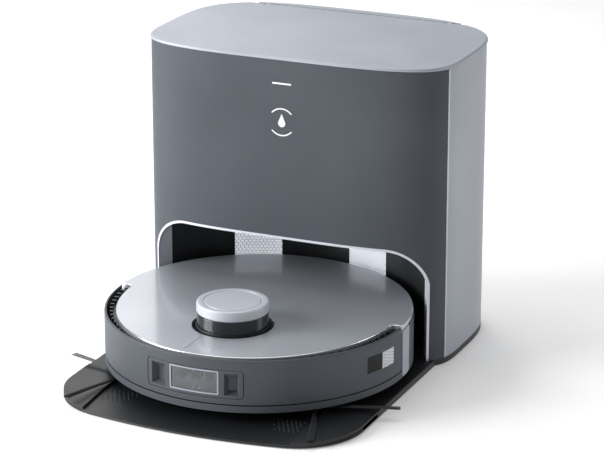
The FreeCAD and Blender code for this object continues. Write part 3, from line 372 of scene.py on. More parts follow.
# %% Cloth, board, light and bristle
def looped_cloth(name, low, high, loop_mm):
    """Cloth of small raised loops, darker between them."""
    material, tree, place = new_material(name)
    loops = add_node(tree, "ShaderNodeTexVoronoi", {
        "Vector": place, "Scale": 1.0 / (loop_mm * MM), "Randomness": 0.8}).outputs["Distance"]
    mixed = reckon(tree, "MULTIPLY_ADD", loops, 0.5, noise(tree, place, 30.0, 3.0))
    close(tree, {
        "Base Color": two_tones(tree, mixed, low, high, (0.4, 0.95)),
        "Roughness": 0.95,
        "Normal": relief(tree, loops, 0.9, 0.6 * MM, invert=True),
        "Sheen Weight": 0.5,
        "Sheen Roughness": 0.4,
    })
    return material


microfibre = looped_cloth("looped_microfibre", "#7c8288", "#a9afb5", 1.5)
nylon = moulded("extruded_nylon_bristle", "#26282c", "#3a3d42", 0.0, 0.38, 0.3, 0.1, ior=1.53)
circuit_board = moulded("solder_mask_board", "#12402a", "#1b5638", 0.0, 0.35, 2.0, 0.2)
light_guide = moulded("frosted_light_guide", "#e4e7ea", "#f2f4f6", 0.0, 0.3, 1.0, 0.05)
print("all finishes:", len(bpy.data.materials))

# %% [markdown]
# The floor of the set is a plain pale sweep with a faint glow of its own, which keeps it white
# in the distance. It isn't part of the object.

# %% The floor
floor_white = moulded("matt_white_floor", "#f4f4f4", "#f7f7f7", 0.0, 0.7, 3.0, 0.02)
lift_light = next(n for n in floor_white.node_tree.nodes if n.type == "BSDF_PRINCIPLED")
lift_light.inputs["Emission Color"].default_value = (1.0, 1.0, 1.0, 1.0)
lift_light.inputs["Emission Strength"].default_value = 0.18
bpy.ops.object.select_all(action="DESELECT")
bpy.ops.mesh.primitive_plane_add(size=40.0, location=(0, 0, -0.0002))
floor = bpy.context.active_object
floor.name = "studio_floor"
floor.data.materials.append(floor_white)
print("floor laid")


# %% [markdown]
# **Making pieces.** A few small tools cover nearly everything below. `outline_face` puts one
# corner of a filled circle at each point of an outline, `lift` extrudes a face straight up,
# `bar` and `drum` are plain solids, and `carve` cuts or joins with another solid. `soften` then
# rounds what is still sharp and sets the shading.

# %% Modelling tools
def select_only(*objects):
    bpy.ops.object.select_all(action="DESELECT")
    for obj in objects:
        obj.select_set(True)
    if objects:
        bpy.context.view_layer.objects.active = objects[-1]


def edit(obj):
    select_only(obj)
    bpy.ops.object.mode_set(mode="EDIT")
    bpy.ops.mesh.select_all(action="SELECT")


def leave_edit():
    bpy.ops.object.mode_set(mode="OBJECT")
    return bpy.context.active_object


def pick(kind, test):
    """In edit mode, selects only the edges or faces whose middle passes the test."""
    bpy.ops.mesh.select_mode(type=kind)
    bpy.ops.mesh.select_all(action="DESELECT")
    obj = bpy.context.active_object
    mesh = bmesh.from_edit_mesh(obj.data)
    for part in mesh.edges if kind == "EDGE" else mesh.faces:
        middle = sum((v.co for v in part.verts), Vector()) / len(part.verts)
        if test(middle, part):
            part.select_set(True)
    bmesh.update_edit_mesh(obj.data)


def outline_face(points):
    """A filled face with one corner at each point."""
    select_only()
    bpy.ops.mesh.primitive_circle_add(vertices=len(points), fill_type="NGON")
    face = bpy.context.active_object
    for vertex, point in zip(face.data.vertices, points):
        vertex.co = point
    return face


def tidy_normals():
    bpy.ops.mesh.select_all(action="SELECT")
    bpy.ops.mesh.remove_doubles(threshold=0.001 * MM)
    bpy.ops.mesh.normals_make_consistent(inside=False)


def lift(outline, low, high):
    """An upright prism over a flat outline of (x, y) points."""
    face = outline_face([(x, y, low) for x, y in outline])
    edit(face)
    bpy.ops.mesh.extrude_region_move(TRANSFORM_OT_translate={"value": (0, 0, high - low)})
    tidy_normals()
    return leave_edit()


def bar(middle, size, turn=0.0):
    """A box about its middle, turned about the upright axis."""
    select_only()
    bpy.ops.mesh.primitive_cube_add(size=1, location=middle, scale=size, rotation=(0, 0, turn))
    bpy.ops.object.transform_apply(location=True, rotation=True, scale=True)
    return bpy.context.active_object


def block(low, high):
    """A box between two corners."""
    return bar((Vector(low) + Vector(high)) / 2, Vector(high) - Vector(low))


def drum(radius, middle, length, axis="Z", corners=64):
    """A round bar along one axis."""
    select_only()
    turn_by = {"Z": (0, 0, 0), "X": (0, math.pi / 2, 0), "Y": (math.pi / 2, 0, 0)}[axis]
    bpy.ops.mesh.primitive_cylinder_add(
        vertices=corners, radius=radius, depth=length, location=middle, rotation=turn_by)
    bpy.ops.object.transform_apply(location=True, rotation=True, scale=True)
    return bpy.context.active_object


def apply_modifier(obj, kind, **settings):
    modifier = obj.modifiers.new("step", kind)
    for key, value in settings.items():
        setattr(modifier, key, value)
    select_only(obj)
    bpy.ops.object.modifier_apply(modifier=modifier.name)


def carve(obj, *tools, operation="DIFFERENCE"):
    for tool in tools:
        apply_modifier(obj, "BOOLEAN", operation=operation, object=tool, solver="EXACT")
        bpy.data.objects.remove(tool)
    return obj


def soften(obj, width, segments=3, limit=30.0, shade=34.0):
    """Rounds every edge sharper than the limit, then shades smooth with flats kept flat."""
    if width:
        apply_modifier(obj, "BEVEL", width=width, segments=segments, limit_method="ANGLE",
                       angle_limit=math.radians(limit), use_clamp_overlap=True, miter_outer="MITER_ARC")
    select_only(obj)
    bpy.ops.object.shade_smooth_by_angle(angle=math.radians(shade))
    apply_modifier(obj, "WEIGHTED_NORMAL", keep_sharp=True, weight=60)
    return obj


def fit_out(obj, name, body, material, slot_name, *replaced):
    """Names a finished piece, gives it its material and ties it to its body."""
    obj.name = name
    obj.data.name = name
    obj.data.materials.clear()
    obj.data.materials.append(material)
    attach(obj, body)
    if replaced:
        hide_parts(*replaced)
    print(name, "faces:", len(obj.data.polygons))
    return obj


# %% [markdown]
# Some shapes of the solid model are right as they stand and only need clean shading. A merged
# copy of the node's triangles, with smooth shading between faces that meet at a small angle,
# does that; the node itself is left alone.

# %% Smooth copies
def smooth_copy(node):
    """A merged, smoothly shaded copy of a solid-model node."""
    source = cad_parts[node]
    twin = bpy.data.objects.new(node + "_skin", source.data.copy())
    bpy.context.scene.collection.objects.link(twin)
    for key in list(twin.keys()):
        del twin[key]
    edit(twin)
    bpy.ops.mesh.customdata_custom_splitnormals_clear()
    bpy.ops.mesh.remove_doubles(threshold=0.002 * MM)
    bpy.ops.mesh.dissolve_limited(angle_limit=math.radians(0.6))
    leave_edit()
    select_only(twin)
    bpy.ops.object.shade_smooth_by_angle(angle=math.radians(28.0))
    return twin


# %% [markdown]
# Positions come from the solid model: the robot's centre from its round side wall, and heights
# from the boxes of the pieces they belong to.

# %% Measured places
bumper_low, bumper_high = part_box("bumper")
ROBOT_R = 181.0 * MM
ROBOT_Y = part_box("side_wall")[1][1] - ROBOT_R
cap_low, cap_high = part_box("turret_cap")
TURRET = Vector(((cap_low[0] + cap_high[0]) / 2, (cap_low[1] + cap_high[1]) / 2, 0))
cover_low, cover_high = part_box("top_cover")
lid_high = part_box("station_lid")[1]
print("robot centre y", ROBOT_Y, "turret", TURRET, "cover top", cover_high[2])


def round_robot(radius, degrees, z=0.0):
    """A point about the robot's centre; 0 degrees is straight ahead."""
    angle = math.radians(degrees)
    return (radius * math.sin(angle), ROBOT_Y - radius * math.cos(angle), z)


# %% [markdown]
# ## The station
# **Lid.** One moulded plate with a generous rounded edge, which shows as a bright line all
# round, a short rim that drops inside the casing, and a round barrel along its hinge. The plan
# is a superellipse: flat-fronted, with corners that turn gradually. The plate is lifted from
# that outline, its top edge is bevelled on its own first, and the rim and barrel are joined on.

# %% The station's plan
PLAN_HALF = lid_high[0] - 1.0 * MM
PLAN_WIDE_Y = 107.4 * MM
PLAN_FRONT = (90.0 * MM, 3.784)
PLAN_BACK = (152.6 * MM, 3.641)


def plan_outline(inset, corners=144):
    """The station's outline, moved inwards by the inset, as (x, y) points from +X round."""
    points = []
    for i in range(corners):
        angle = 2 * math.pi * i / corners
        c, s = math.cos(angle), math.sin(angle)
        depth, power = PLAN_BACK if s >= 0 else PLAN_FRONT
        x = math.copysign(abs(c) ** (2 / power), c) * (PLAN_HALF - inset)
        y = PLAN_WIDE_Y + math.copysign(abs(s) ** (2 / power), s) * (depth - inset)
        points.append((x, y))
    return points


print("plan points:", len(plan_outline(0)))

# %% The lid
HINGE_Y = 243.0 * MM
HINGE_R = 4.45 * MM
LID_TOP = lid_high[2]
LID_UNDER = LID_TOP - 4.0 * MM
HINGE_Z = LID_TOP - HINGE_R

lid = lift(plan_outline(-1.0 * MM), LID_UNDER, LID_TOP)
edit(lid)
pick("EDGE", lambda m, e: m.z > LID_TOP - 1e-5)
bpy.ops.mesh.bevel(offset=2.6 * MM, segments=5, profile=0.5, affect="EDGES")
pick("EDGE", lambda m, e: m.z < LID_UNDER + 1e-5)
bpy.ops.mesh.bevel(offset=0.6 * MM, segments=2, profile=0.5, affect="EDGES")
leave_edit()
carve(lid, block((-0.3, HINGE_Y, 0.3), (0.3, 0.3, 0.4)))
rim = lift(plan_outline(3.7 * MM), LID_UNDER - 4.9 * MM, LID_UNDER + 0.1 * MM)
carve(rim, lift(plan_outline(6.9 * MM), 0.34, 0.37), block((-0.3, HINGE_Y - 12 * MM, 0.3), (0.3, 0.3, 0.4)))
barrel = drum(HINGE_R, (0, HINGE_Y, HINGE_Z), 270.0 * MM, "X", 40)
carve(lid, rim, barrel, operation="UNION")
notches = [block((x0 - 0.0005, HINGE_Y - HINGE_R - 0.6 * MM, 0.3), (x0 + 0.0065, 0.3, 0.4))
           for x0 in (-124.0 * MM, 118.0 * MM)]
carve(lid, *notches)
soften(lid, 0.0, shade=38.0)
fit_out(lid, "lid_plate", "station_lid", silver_paint, "silver_plastic", "station_lid")

# %% [markdown]
# ** Casing.** The solid model's front panel, casing and trims have the right walls and openings,
# so each gets a smooth copy, shaded smooth where faces meet at a small angle.

# %% The casing
for node_name, skin_name, finish, slot_name in (
        ("front_panel", "front_panel_skin", graphite_paint, "front_grey"),
        ("rear_shell", "rear_casing_skin", silver_paint, "silver_plastic"),
        ("bay_liner", "bay_liner_skin", black_abs, "black_plastic"),
        # The arch trim takes the paler silver, a painted highlight on its reveal.
        ("arch_trim", "arch_trim_skin", painted_highlight_trim, "trim_silver")):
    fit_out(smooth_copy(node_name), skin_name, "station", finish, slot_name, node_name)

# %% [markdown]
# ** Seam beads.** Where the graphite panel meets the silver casing a slim bright bead runs from
# the tray to the lid, a painted highlight for the light the casing's edge catches. It is a thin
# bar of the paler silver with rounded edges, standing in the seam's corner.

# %% Seam beads, painted highlight lines
panel_low, panel_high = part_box("front_panel")
for side, side_name in ((-1, "left"), (1, "right")):
    bead_x = side * (panel_high[0] + 0.2 * MM)
    bead_y = panel_high[1] - 0.4 * MM
    bead = block((bead_x - 0.8 * MM, bead_y - 0.9 * MM, panel_low[2]),
                 (bead_x + 0.8 * MM, bead_y + 0.7 * MM, panel_high[2] - 0.3 * MM))
    soften(bead, 0.5 * MM, segments=3)
    # The bead's pale silver is a painted highlight along the seam.
    fit_out(bead, "seam_painted_highlight_" + side_name, "station", painted_highlight_trim, "trim_silver")

# %% [markdown]
# **Tray.** The station stands on a thick black moulding whose front runs out from under the
# robot as a ramp with big round corners. The outline has three arcs: two corners and one long
# shallow front. The plate is lifted at full height, its front corners are then dropped onto the
# slope, and the upper edge gets a wide soft bevel.

# %% The tray
TRAY_TOP = 8.0 * MM
TRAY_LOW = 0.8 * MM
RAMP_HALF = 184.0 * MM
RAMP_FRONT_Y = cad_box[0][1]
RAMP_CORNER_R = 80.0 * MM
RAMP_FRONT_R = 660.0 * MM
SLOPE_START_Y = -196.0 * MM
LIP_Z = 2.6 * MM


def arc_points(centre, radius, start, stop, steps):
    """Points on an arc; angles in degrees from +X."""
    points = []
    for i in range(steps + 1):
        angle = math.radians(start + (stop - start) * i / steps)
        points.append((centre[0] + radius * math.cos(angle), centre[1] + radius * math.sin(angle)))
    return points


long_centre = (0.0, RAMP_FRONT_Y + RAMP_FRONT_R)
corner_x = RAMP_HALF - RAMP_CORNER_R
corner_y = long_centre[1] - math.sqrt((RAMP_FRONT_R - RAMP_CORNER_R) ** 2 - corner_x ** 2)
meet = math.degrees(math.atan2(corner_x, long_centre[1] - corner_y))
ramp_outline = (
    [(-RAMP_HALF, 60.0 * MM), (-RAMP_HALF, SLOPE_START_Y + 40.0 * MM)]
    + arc_points((-corner_x, corner_y), RAMP_CORNER_R, 180, 270 - meet, 14)
    + arc_points(long_centre, RAMP_FRONT_R, 270 - meet, 270 + meet, 30)[1:-1]
    + arc_points((corner_x, corner_y), RAMP_CORNER_R, 270 + meet, 360, 14)
    + [(RAMP_HALF, SLOPE_START_Y + 40.0 * MM), (RAMP_HALF, 60.0 * MM)]
)
ramp = lift(ramp_outline, TRAY_LOW, TRAY_TOP)
edit(ramp)
bpy.ops.mesh.bisect(plane_co=(0, SLOPE_START_Y, 0), plane_no=(0, 1, 0))
leave_edit()
for vertex in ramp.data.vertices:
    if vertex.co.z > TRAY_TOP - 1e-5 and vertex.co.y < SLOPE_START_Y:
        down = (SLOPE_START_Y - vertex.co.y) / (SLOPE_START_Y - RAMP_FRONT_Y)
        vertex.co.z = TRAY_TOP - (TRAY_TOP - LIP_Z) * down
edit(ramp)
pick("EDGE", lambda m, e: m.z > LIP_Z - 1e-5 and m.y < 0.02 and abs(m.y - SLOPE_START_Y) > 1e-4
     and abs(e.verts[0].co.z - e.verts[1].co.z) < 1.2 * MM and e.is_manifold
     and min(f.normal.z for f in e.link_faces) < 0.5)
bpy.ops.mesh.bevel(offset=1.5 * MM, segments=4, profile=0.6, affect="EDGES")
leave_edit()
carve(ramp, lift(plan_outline(0.3 * MM), TRAY_LOW - 0.0005, TRAY_TOP + 0.001))
plinth = lift(plan_outline(0.0), TRAY_LOW, TRAY_TOP)
carve(ramp, plinth, operation="UNION")
basin_low, basin_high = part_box("wash_basin")
carve(ramp, block((basin_low[0], basin_low[1], basin_low[2] - 0.001), (basin_high[0], basin_high[1], 0.02)))
soften(ramp, 0.0, shade=36.0)
fit_out(ramp, "tray_moulding", "station", black_abs, "black_plastic", "base_tray")

# %% [markdown]
# **Corner facets.** At each front corner a low raised facet guides the robot's wheels. Each is a
# prism over the part of the ramp's outline beyond an upright plane. Its upper corners are then
# set on a surface that follows the ramp and falls outwards, and the inner edge gets a round that
# catches a light line.

# %% Corner facets
FACET_INNER = 128.5 * MM
FACET_BACK_Y = -128.0 * MM
FACET_RISE = 3.2 * MM


def ramp_height(y):
    """The height of the ramp's upper surface at one y."""
    down = max(0.0, (SLOPE_START_Y - y) / (SLOPE_START_Y - RAMP_FRONT_Y))
    return TRAY_TOP - (TRAY_TOP - LIP_Z) * down


for side, side_name in ((-1, "left"), (1, "right")):
    facet = lift(ramp_outline, TRAY_LOW + 1.0 * MM, TRAY_TOP + FACET_RISE)
    cuts = (
        (Vector((side * FACET_INNER, 0, 0)), Vector((-side, 0, 0)), True),
        (Vector((0, FACET_BACK_Y, 0)), Vector((0, 1, 0)), True),
        (Vector((0, SLOPE_START_Y, 0)), Vector((0, 1, 0)), False),
    )
    for point, normal, clear in cuts:
        edit(facet)
        bpy.ops.mesh.bisect(plane_co=point, plane_no=normal, clear_outer=clear, use_fill=clear)
        leave_edit()
    for vertex in facet.data.vertices:
        if vertex.co.z > TRAY_TOP:
            outward = (abs(vertex.co.x) - FACET_INNER) / (RAMP_HALF - FACET_INNER)
            vertex.co.z = ramp_height(vertex.co.y) + FACET_RISE * (1.0 - 0.8 * outward)
    edit(facet)
    pick("EDGE", lambda m, e: abs(abs(m.x) - FACET_INNER) < 1e-5 and m.z > 6.0 * MM and len(e.link_faces) == 2
         and abs(e.verts[0].co.y - e.verts[1].co.y) > 0.005)
    bpy.ops.mesh.bevel(offset=1.5 * MM, segments=4, profile=0.5, affect="EDGES")
    leave_edit()
    soften(facet, 0.35 * MM, segments=2, limit=40.0)
    fit_out(facet, "corner_facet_" + side_name, "station", black_abs, "black_plastic")

# %% [markdown]
# **Anti-slip studs.** Rows of low round studs in front of the robot keep the ramp from being
# slippery. One stud is modelled as a low dome with few faces and copied into place.

# %% Anti-slip studs
def place_copies(source, spots, name):
    """Joins copies of one small piece, each moved by a spot, into one object."""
    copies = []
    for spot in spots:
        twin = source.copy()
        twin.data = source.data.copy()
        bpy.context.scene.collection.objects.link(twin)
        for vertex in twin.data.vertices:
            vertex.co += Vector(spot)
        copies.append(twin)
    bpy.data.objects.remove(source)
    select_only(*copies)
    bpy.ops.object.join()
    joined = bpy.context.active_object
    joined.name = name
    return joined


for side, side_name in ((-1, "left"), (1, "right")):
    select_only()
    bpy.ops.mesh.primitive_cone_add(vertices=10, radius1=1.5 * MM, radius2=0.8 * MM, depth=0.7 * MM,
                                    location=(0, 0, 0.2 * MM))
    bpy.ops.object.transform_apply(location=True, rotation=True, scale=True)
    stud = bpy.context.active_object
    spots = []
    for row in range(6):
        for column in range(7 - row // 2):
            x = side * (122.0 - 5.6 * column - 2.8 * (row % 2)) * MM
            y = (-190.0 - 5.0 * row) * MM
            spots.append((x, y, ramp_height(y)))
    studs = place_copies(stud, spots, "studs")
    soften(studs, 0.0, shade=40.0)
    fit_out(studs, "anti_slip_studs_" + side_name, "station", dark_abs, "black_plastic")

# %% [markdown]
# ## The robot
# **Cover.** A sheet of brushed aluminium with a round back and a slightly narrower elliptical
# front, joined by a small rounded step on each side. The outline is lifted, the step's corners
# are rounded first, then the upper rim gets a narrow polished bevel, and last the turret's hole
# and the start key's slot are cut.

# %% The cover
COVER_R = 180.0 * MM
COVER_HALF = 166.0 * MM
COVER_REACH = 174.4 * MM
turns = [math.pi * i / 96 for i in range(97)]
rear = [(COVER_R * math.cos(a), ROBOT_Y + COVER_R * math.sin(a)) for a in turns]
front = [(-COVER_HALF * math.cos(a), ROBOT_Y - COVER_REACH * math.sin(a)) for a in turns]
cover = lift(rear + front, cover_low[2], cover_high[2])
edit(cover)
pick("EDGE", lambda m, e: abs(m.y - ROBOT_Y) < 1e-5 and abs(e.verts[0].co.z - e.verts[1].co.z) > 0.003)
bpy.ops.mesh.bevel(offset=4.5 * MM, segments=5, profile=0.5, affect="EDGES")
pick("EDGE", lambda m, e: m.z > cover_high[2] - 1e-6)
bpy.ops.mesh.bevel(offset=1.3 * MM, segments=4, profile=0.5, affect="EDGES")
leave_edit()
hollow = drum(160.0 * MM, (0, ROBOT_Y, cover_low[2] - 2.4 * MM), 10.8 * MM, corners=96)
carve(hollow, drum(51.0 * MM, (TURRET.x, TURRET.y, cover_low[2]), 20.0 * MM))
carve(cover, hollow)
carve(cover, drum(47.0 * MM, (TURRET.x, TURRET.y, cover_low[2]), 40.0 * MM, corners=96))
key_low, key_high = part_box("start_button")
carve(cover, block((key_low[0] - 0.3 * MM, key_low[1] - 0.3 * MM, 0.07),
                   (key_high[0] + 0.3 * MM, key_high[1] + 0.3 * MM, 0.1)))
edit(cover)
pick("EDGE", lambda m, e: m.z > cover_high[2] - 1e-6
     and abs((Vector((m.x, m.y, 0)) - TURRET).length - 47.0 * MM) < 0.2 * MM)
bpy.ops.mesh.bevel(offset=0.7 * MM, segments=3, profile=0.5, affect="EDGES")
leave_edit()
soften(cover, 0.0, shade=36.0)
fit_out(cover, "brushed_cover", "robot_cover", cover_metal, "cover_metal", "top_cover")


def finish_faces(obj, material, test):
    """Gives a second material to the faces that pass the test."""
    obj.data.materials.append(material)
    slot_index = len(obj.data.materials) - 1
    count = 0
    for polygon in obj.data.polygons:
        if test(polygon):
            polygon.material_index = slot_index
            count += 1
    print(obj.name, "faces in", material.name, count)


finish_faces(cover, rim_metal, lambda p: 0.05 < p.normal.z < 0.97 and p.center.z > cover_high[2] - 1.4 * MM)

# %% [markdown]
# ** Start key.** A flush strip of the same sheet between the turret and the front edge, with a
# ring pressed into it. The strip is a thin block with its edges broken; the ring is a thin torus
# sunk nearly flush with the strip.

# %% The start key
key = block(key_low, key_high)
soften(key, 0.5 * MM, segments=3)
fit_out(key, "start_key", "start_button", cover_metal, "cover_metal", "start_button")
select_only()
bpy.ops.mesh.primitive_torus_add(
    major_radius=3.0 * MM, minor_radius=0.35 * MM, major_segments=40, minor_segments=8,
    location=((key_low[0] + key_high[0]) / 2, key_high[1] - 13.0 * MM, key_high[2] - 0.3 * MM))
bpy.ops.object.transform_apply(location=True, rotation=True, scale=True)
key_ring = bpy.context.active_object
soften(key_ring, 0.0)
fit_out(key_ring, "start_key_ring", "start_button", dark_abs, "cover_metal")

# %% [markdown]
# **Turret.** Round parts are drawn as half a section and spun about their upright axis. The cap
# is a satin silver lid with a rounded rim, a fine groove and a hanging skirt; below it stand the
# smoked window, four slim struts behind it, and the flange it sits on.

# %% Spinning a section
def turned(section, centre, steps=96):
    """A closed section of (radius, z) points spun once round an upright axis."""
    select_only()
    bpy.ops.mesh.primitive_circle_add(vertices=len(section), fill_type="NOTHING")
    obj = bpy.context.active_object
    for vertex, (radius, z) in zip(obj.data.vertices, section):
        vertex.co = (centre[0] + radius, centre[1], z)
    edit(obj)
    bpy.ops.mesh.spin(steps=steps, angle=2 * math.pi, center=(centre[0], centre[1], 0), axis=(0, 0, 1))
    bpy.ops.mesh.select_all(action="SELECT")
    bpy.ops.mesh.remove_doubles(threshold=0.002 * MM)
    bpy.ops.mesh.dissolve_degenerate(threshold=0.001 * MM)
    bpy.ops.mesh.select_all(action="SELECT")
    bpy.ops.mesh.delete_loose(use_verts=True, use_edges=True, use_faces=False)
    bpy.ops.mesh.select_all(action="SELECT")
    bpy.ops.mesh.normals_make_consistent(inside=False)
    return leave_edit()


def swept(section, start, stop, steps):
    """A closed section of (radius, z) points swept about the robot's centre between two angles."""
    angle = math.radians(start)
    along = Vector((math.sin(angle), -math.cos(angle), 0))
    points = [Vector((0, ROBOT_Y, z)) + along * radius for radius, z in section]
    obj = outline_face(points)
    edit(obj)
    bpy.ops.mesh.spin(steps=steps, angle=math.radians(stop - start), center=(0, ROBOT_Y, 0), axis=(0, 0, -1))
    tidy_normals()
    return leave_edit()


# %% The turret
cap_z0, cap_z1 = cap_low[2] + 5.0 * MM, cap_high[2]
CAP_R = 41.8 * MM
cap_section = [
    (0.0, cap_z1), (32.2 * MM, cap_z1), (32.6 * MM, cap_z1 - 0.25 * MM), (32.8 * MM, cap_z1 - 0.7 * MM),
    (33.8 * MM, cap_z1 - 0.7 * MM), (34.0 * MM, cap_z1 - 0.25 * MM), (34.4 * MM, cap_z1),
    (CAP_R - 2.4 * MM, cap_z1), (CAP_R - 1.5 * MM, cap_z1 - 0.2 * MM), (CAP_R - 0.7 * MM, cap_z1 - 0.7 * MM),
    (CAP_R - 0.2 * MM, cap_z1 - 1.5 * MM), (CAP_R, cap_z1 - 2.4 * MM), (CAP_R, cap_z0 + 0.8 * MM),
    (CAP_R - 0.3 * MM, cap_z0 + 0.25 * MM), (CAP_R - 0.8 * MM, cap_z0), (38.8 * MM, cap_z0),
    (38.8 * MM, cap_low[2]), (37.2 * MM, cap_low[2]), (37.2 * MM, cap_z1 - 2.5 * MM),
    (0.0, cap_z1 - 2.5 * MM),
]
cap = turned(cap_section, TURRET)
soften(cap, 0.0, shade=40.0)
fit_out(cap, "turret_lid", "turret_cap", turret_paint, "trim_silver", "turret_cap")

window_low, window_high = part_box("turret_window")
band = turned([
    (41.4 * MM, window_low[2]), (41.4 * MM, window_high[2] - 0.5 * MM), (41.0 * MM, window_high[2]),
    (39.6 * MM, window_high[2]), (39.2 * MM, window_high[2] - 0.5 * MM), (39.2 * MM, window_low[2])], TURRET)
soften(band, 0.0, shade=40.0)
fit_out(band, "smoked_window", "robot", smoked, "smoked_window", "turret_window")

flange_low, flange_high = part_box("turret_base")
flange = turned([
    (43.0 * MM, flange_low[2]), (43.0 * MM, flange_high[2] - 1.2 * MM),
    (42.6 * MM, flange_high[2] - 0.3 * MM), (41.9 * MM, flange_high[2]), (37.0 * MM, flange_high[2]),
    (37.0 * MM, flange_low[2] + 2.0 * MM), (9.1 * MM, flange_low[2] + 2.0 * MM), (9.1 * MM, flange_low[2])],
    TURRET)
soften(flange, 0.0, shade=40.0)
fit_out(flange, "turret_flange", "robot", black_abs, "dark_plastic", "turret_base")

for number, heading in enumerate((12.0, 100.0, 190.0, 280.0)):
    angle = math.radians(heading)
    middle = TURRET + Vector((math.sin(angle), -math.cos(angle), 0)) * 35.4 * MM
    strut = bar((middle.x, middle.y, (window_low[2] + window_high[2]) / 2),
                (9.0 * MM, 2.0 * MM, window_high[2] - window_low[2]), angle)
    soften(strut, 0.6 * MM)
    fit_out(strut, "turret_strut_" + str(number + 1), "robot", dark_abs, "dark_plastic")

# %% [markdown]
# **Bumper.** The front half of the wall is one curved moulding that can be pushed in. Its
# section, with rounded upper and lower edges, is swept from one side to the other. The camera
# panel's opening is cut with a swept block that has rounded corners, and so are the openings of
# the two small windows on the right. Angles are in degrees from straight ahead.

# %% The bumper
def swept_block(r_in, r_out, start, stop, low, high, corner=0.0, steps=24):
    """A curved block; its corners may be rounded by crowding the end columns into quarter rounds."""
    obj = swept([(r_in, low), (r_out, low), (r_out, high), (r_in, high)], start, stop, steps)
    if not corner:
        return obj
    columns = min(6, steps // 3)
    reach = math.degrees(corner / r_out)
    for vertex in obj.data.vertices:
        arm = (vertex.co - Vector((0, ROBOT_Y, 0))).xy
        column = round((math.degrees(math.atan2(arm.x, -arm.y)) - start) / (stop - start) * steps)
        inward = min(column, steps - column)
        turn = math.radians(90 * min(inward / columns, 1.0))
        free = max(inward - columns, 0) / (steps - 2 * columns) * (stop - start - 2 * reach)
        along = reach * (1 - math.cos(turn)) + free
        inset = corner * (1 - math.sin(turn))
        z = low + inset if vertex.co.z < (low + high) / 2 else high - inset
        vertex.co = round_robot(arm.length, start + along if column <= steps / 2 else stop - along, z)
    return obj


BUMPER_Z0, BUMPER_Z1 = bumper_low[2], bumper_high[2]
BUMPER_T = 2.6 * MM
BUMPER_REACH = 88.7
PANEL_REACH = 19.3
WINDOW_SPAN = (67.1, 74.9)
PATCH_SPAN = (75.3, 82.8)
SPLIT = 0.05
GLASS_SPAN = (-9.1, 10.1)
bezel_low, bezel_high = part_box("camera_bezel")
mark_low, mark_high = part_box("side_marker")
eye_low, eye_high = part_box("side_window")
R = ROBOT_R
bumper = swept([
    (R - BUMPER_T, BUMPER_Z0), (R - 0.7 * MM, BUMPER_Z0), (R - 0.2 * MM, BUMPER_Z0 + 0.25 * MM),
    (R, BUMPER_Z0 + 0.9 * MM), (R, BUMPER_Z1 - 1.8 * MM), (R - 0.25 * MM, BUMPER_Z1 - 0.9 * MM),
    (R - 0.8 * MM, BUMPER_Z1 - 0.3 * MM), (R - 1.6 * MM, BUMPER_Z1), (R - BUMPER_T, BUMPER_Z1)],
    -BUMPER_REACH, BUMPER_REACH, 118)
carve(bumper,
      swept_block(R - 6 * MM, R + 3 * MM, -PANEL_REACH, PANEL_REACH, bezel_low[2], bezel_high[2], 5.0 * MM),
      swept_block(R - 6 * MM, R + 3 * MM, *WINDOW_SPAN, eye_low[2], eye_high[2], 0.8 * MM, 8),
      swept_block(R - 6 * MM, R + 3 * MM, *PATCH_SPAN, mark_low[2], mark_high[2], 0.8 * MM, 8))
soften(bumper, 0.0, shade=36.0)
fit_out(bumper, "bumper_shell", "bumper", bumper_abs, "bumper_grey", "bumper")

for name, span, sunk, low, high, finish, slot_name, node_name in (
        ("side_sensor_window", WINDOW_SPAN, 0.1, eye_low, eye_high,
         black_glass, "black_plastic", "side_window"),
        ("side_reflector", PATCH_SPAN, 0.05, mark_low, mark_high,
         robot_film, "reflective_patch", "side_marker")):
    inlay = swept_block(R - BUMPER_T, R - sunk * MM, span[0] + SPLIT, span[1] - SPLIT,
                        low[2] + 0.1 * MM, high[2] - 0.1 * MM, 0.8 * MM, 8)
    soften(inlay, 0.35 * MM, segments=2, limit=50.0)
    fit_out(inlay, name, "bumper", finish, slot_name, node_name)

# %% [markdown]
# **Camera panel.** A rounded frame is let into the bumper. It has a deep well at each end whose
# walls slope to a small floor, and a glass pane in the middle with a bright frame. Behind the
# glass are two ringed lenses, a small grid of light emitters and two spots below them.

# %% The camera panel
panel = swept_block(R - 9.0 * MM, R - 0.25 * MM, -19.05, 19.05, bezel_low[2] + 0.5 * MM,
                    bezel_high[2] - 0.5 * MM, 4.6 * MM, 32)
well_z0, well_z1 = bezel_low[2] + 3.0 * MM, bezel_high[2] - 3.0 * MM


def well_cutter(start, stop):
    """A pocket cutter that narrows towards its floor."""
    cutter = swept_block(R - 7.5 * MM, R + 1.0 * MM, start, stop, well_z0, well_z1, steps=1)
    floor_mid = Vector(round_robot(R - 7.5 * MM, (start + stop) / 2, well_z0 + 10.0 * MM))
    for vertex in cutter.data.vertices:
        if (vertex.co - Vector((0, ROBOT_Y, 0))).xy.length < R - 4.0 * MM:
            vertex.co = vertex.co.lerp(floor_mid, 0.45)
    return cutter


carve(panel, well_cutter(-17.4, -11.1), well_cutter(12.0, 17.7),
      swept_block(R - 12 * MM, R + 3 * MM, GLASS_SPAN[0] - 0.1, GLASS_SPAN[1] + 0.1,
                  bezel_low[2] + 3.4 * MM, bezel_high[2] - 2.0 * MM, 1.5 * MM))
soften(panel, 0.8 * MM, segments=3, limit=50.0, shade=36.0)
fit_out(panel, "camera_panel", "robot", bumper_abs, "dark_plastic", "camera_bezel")

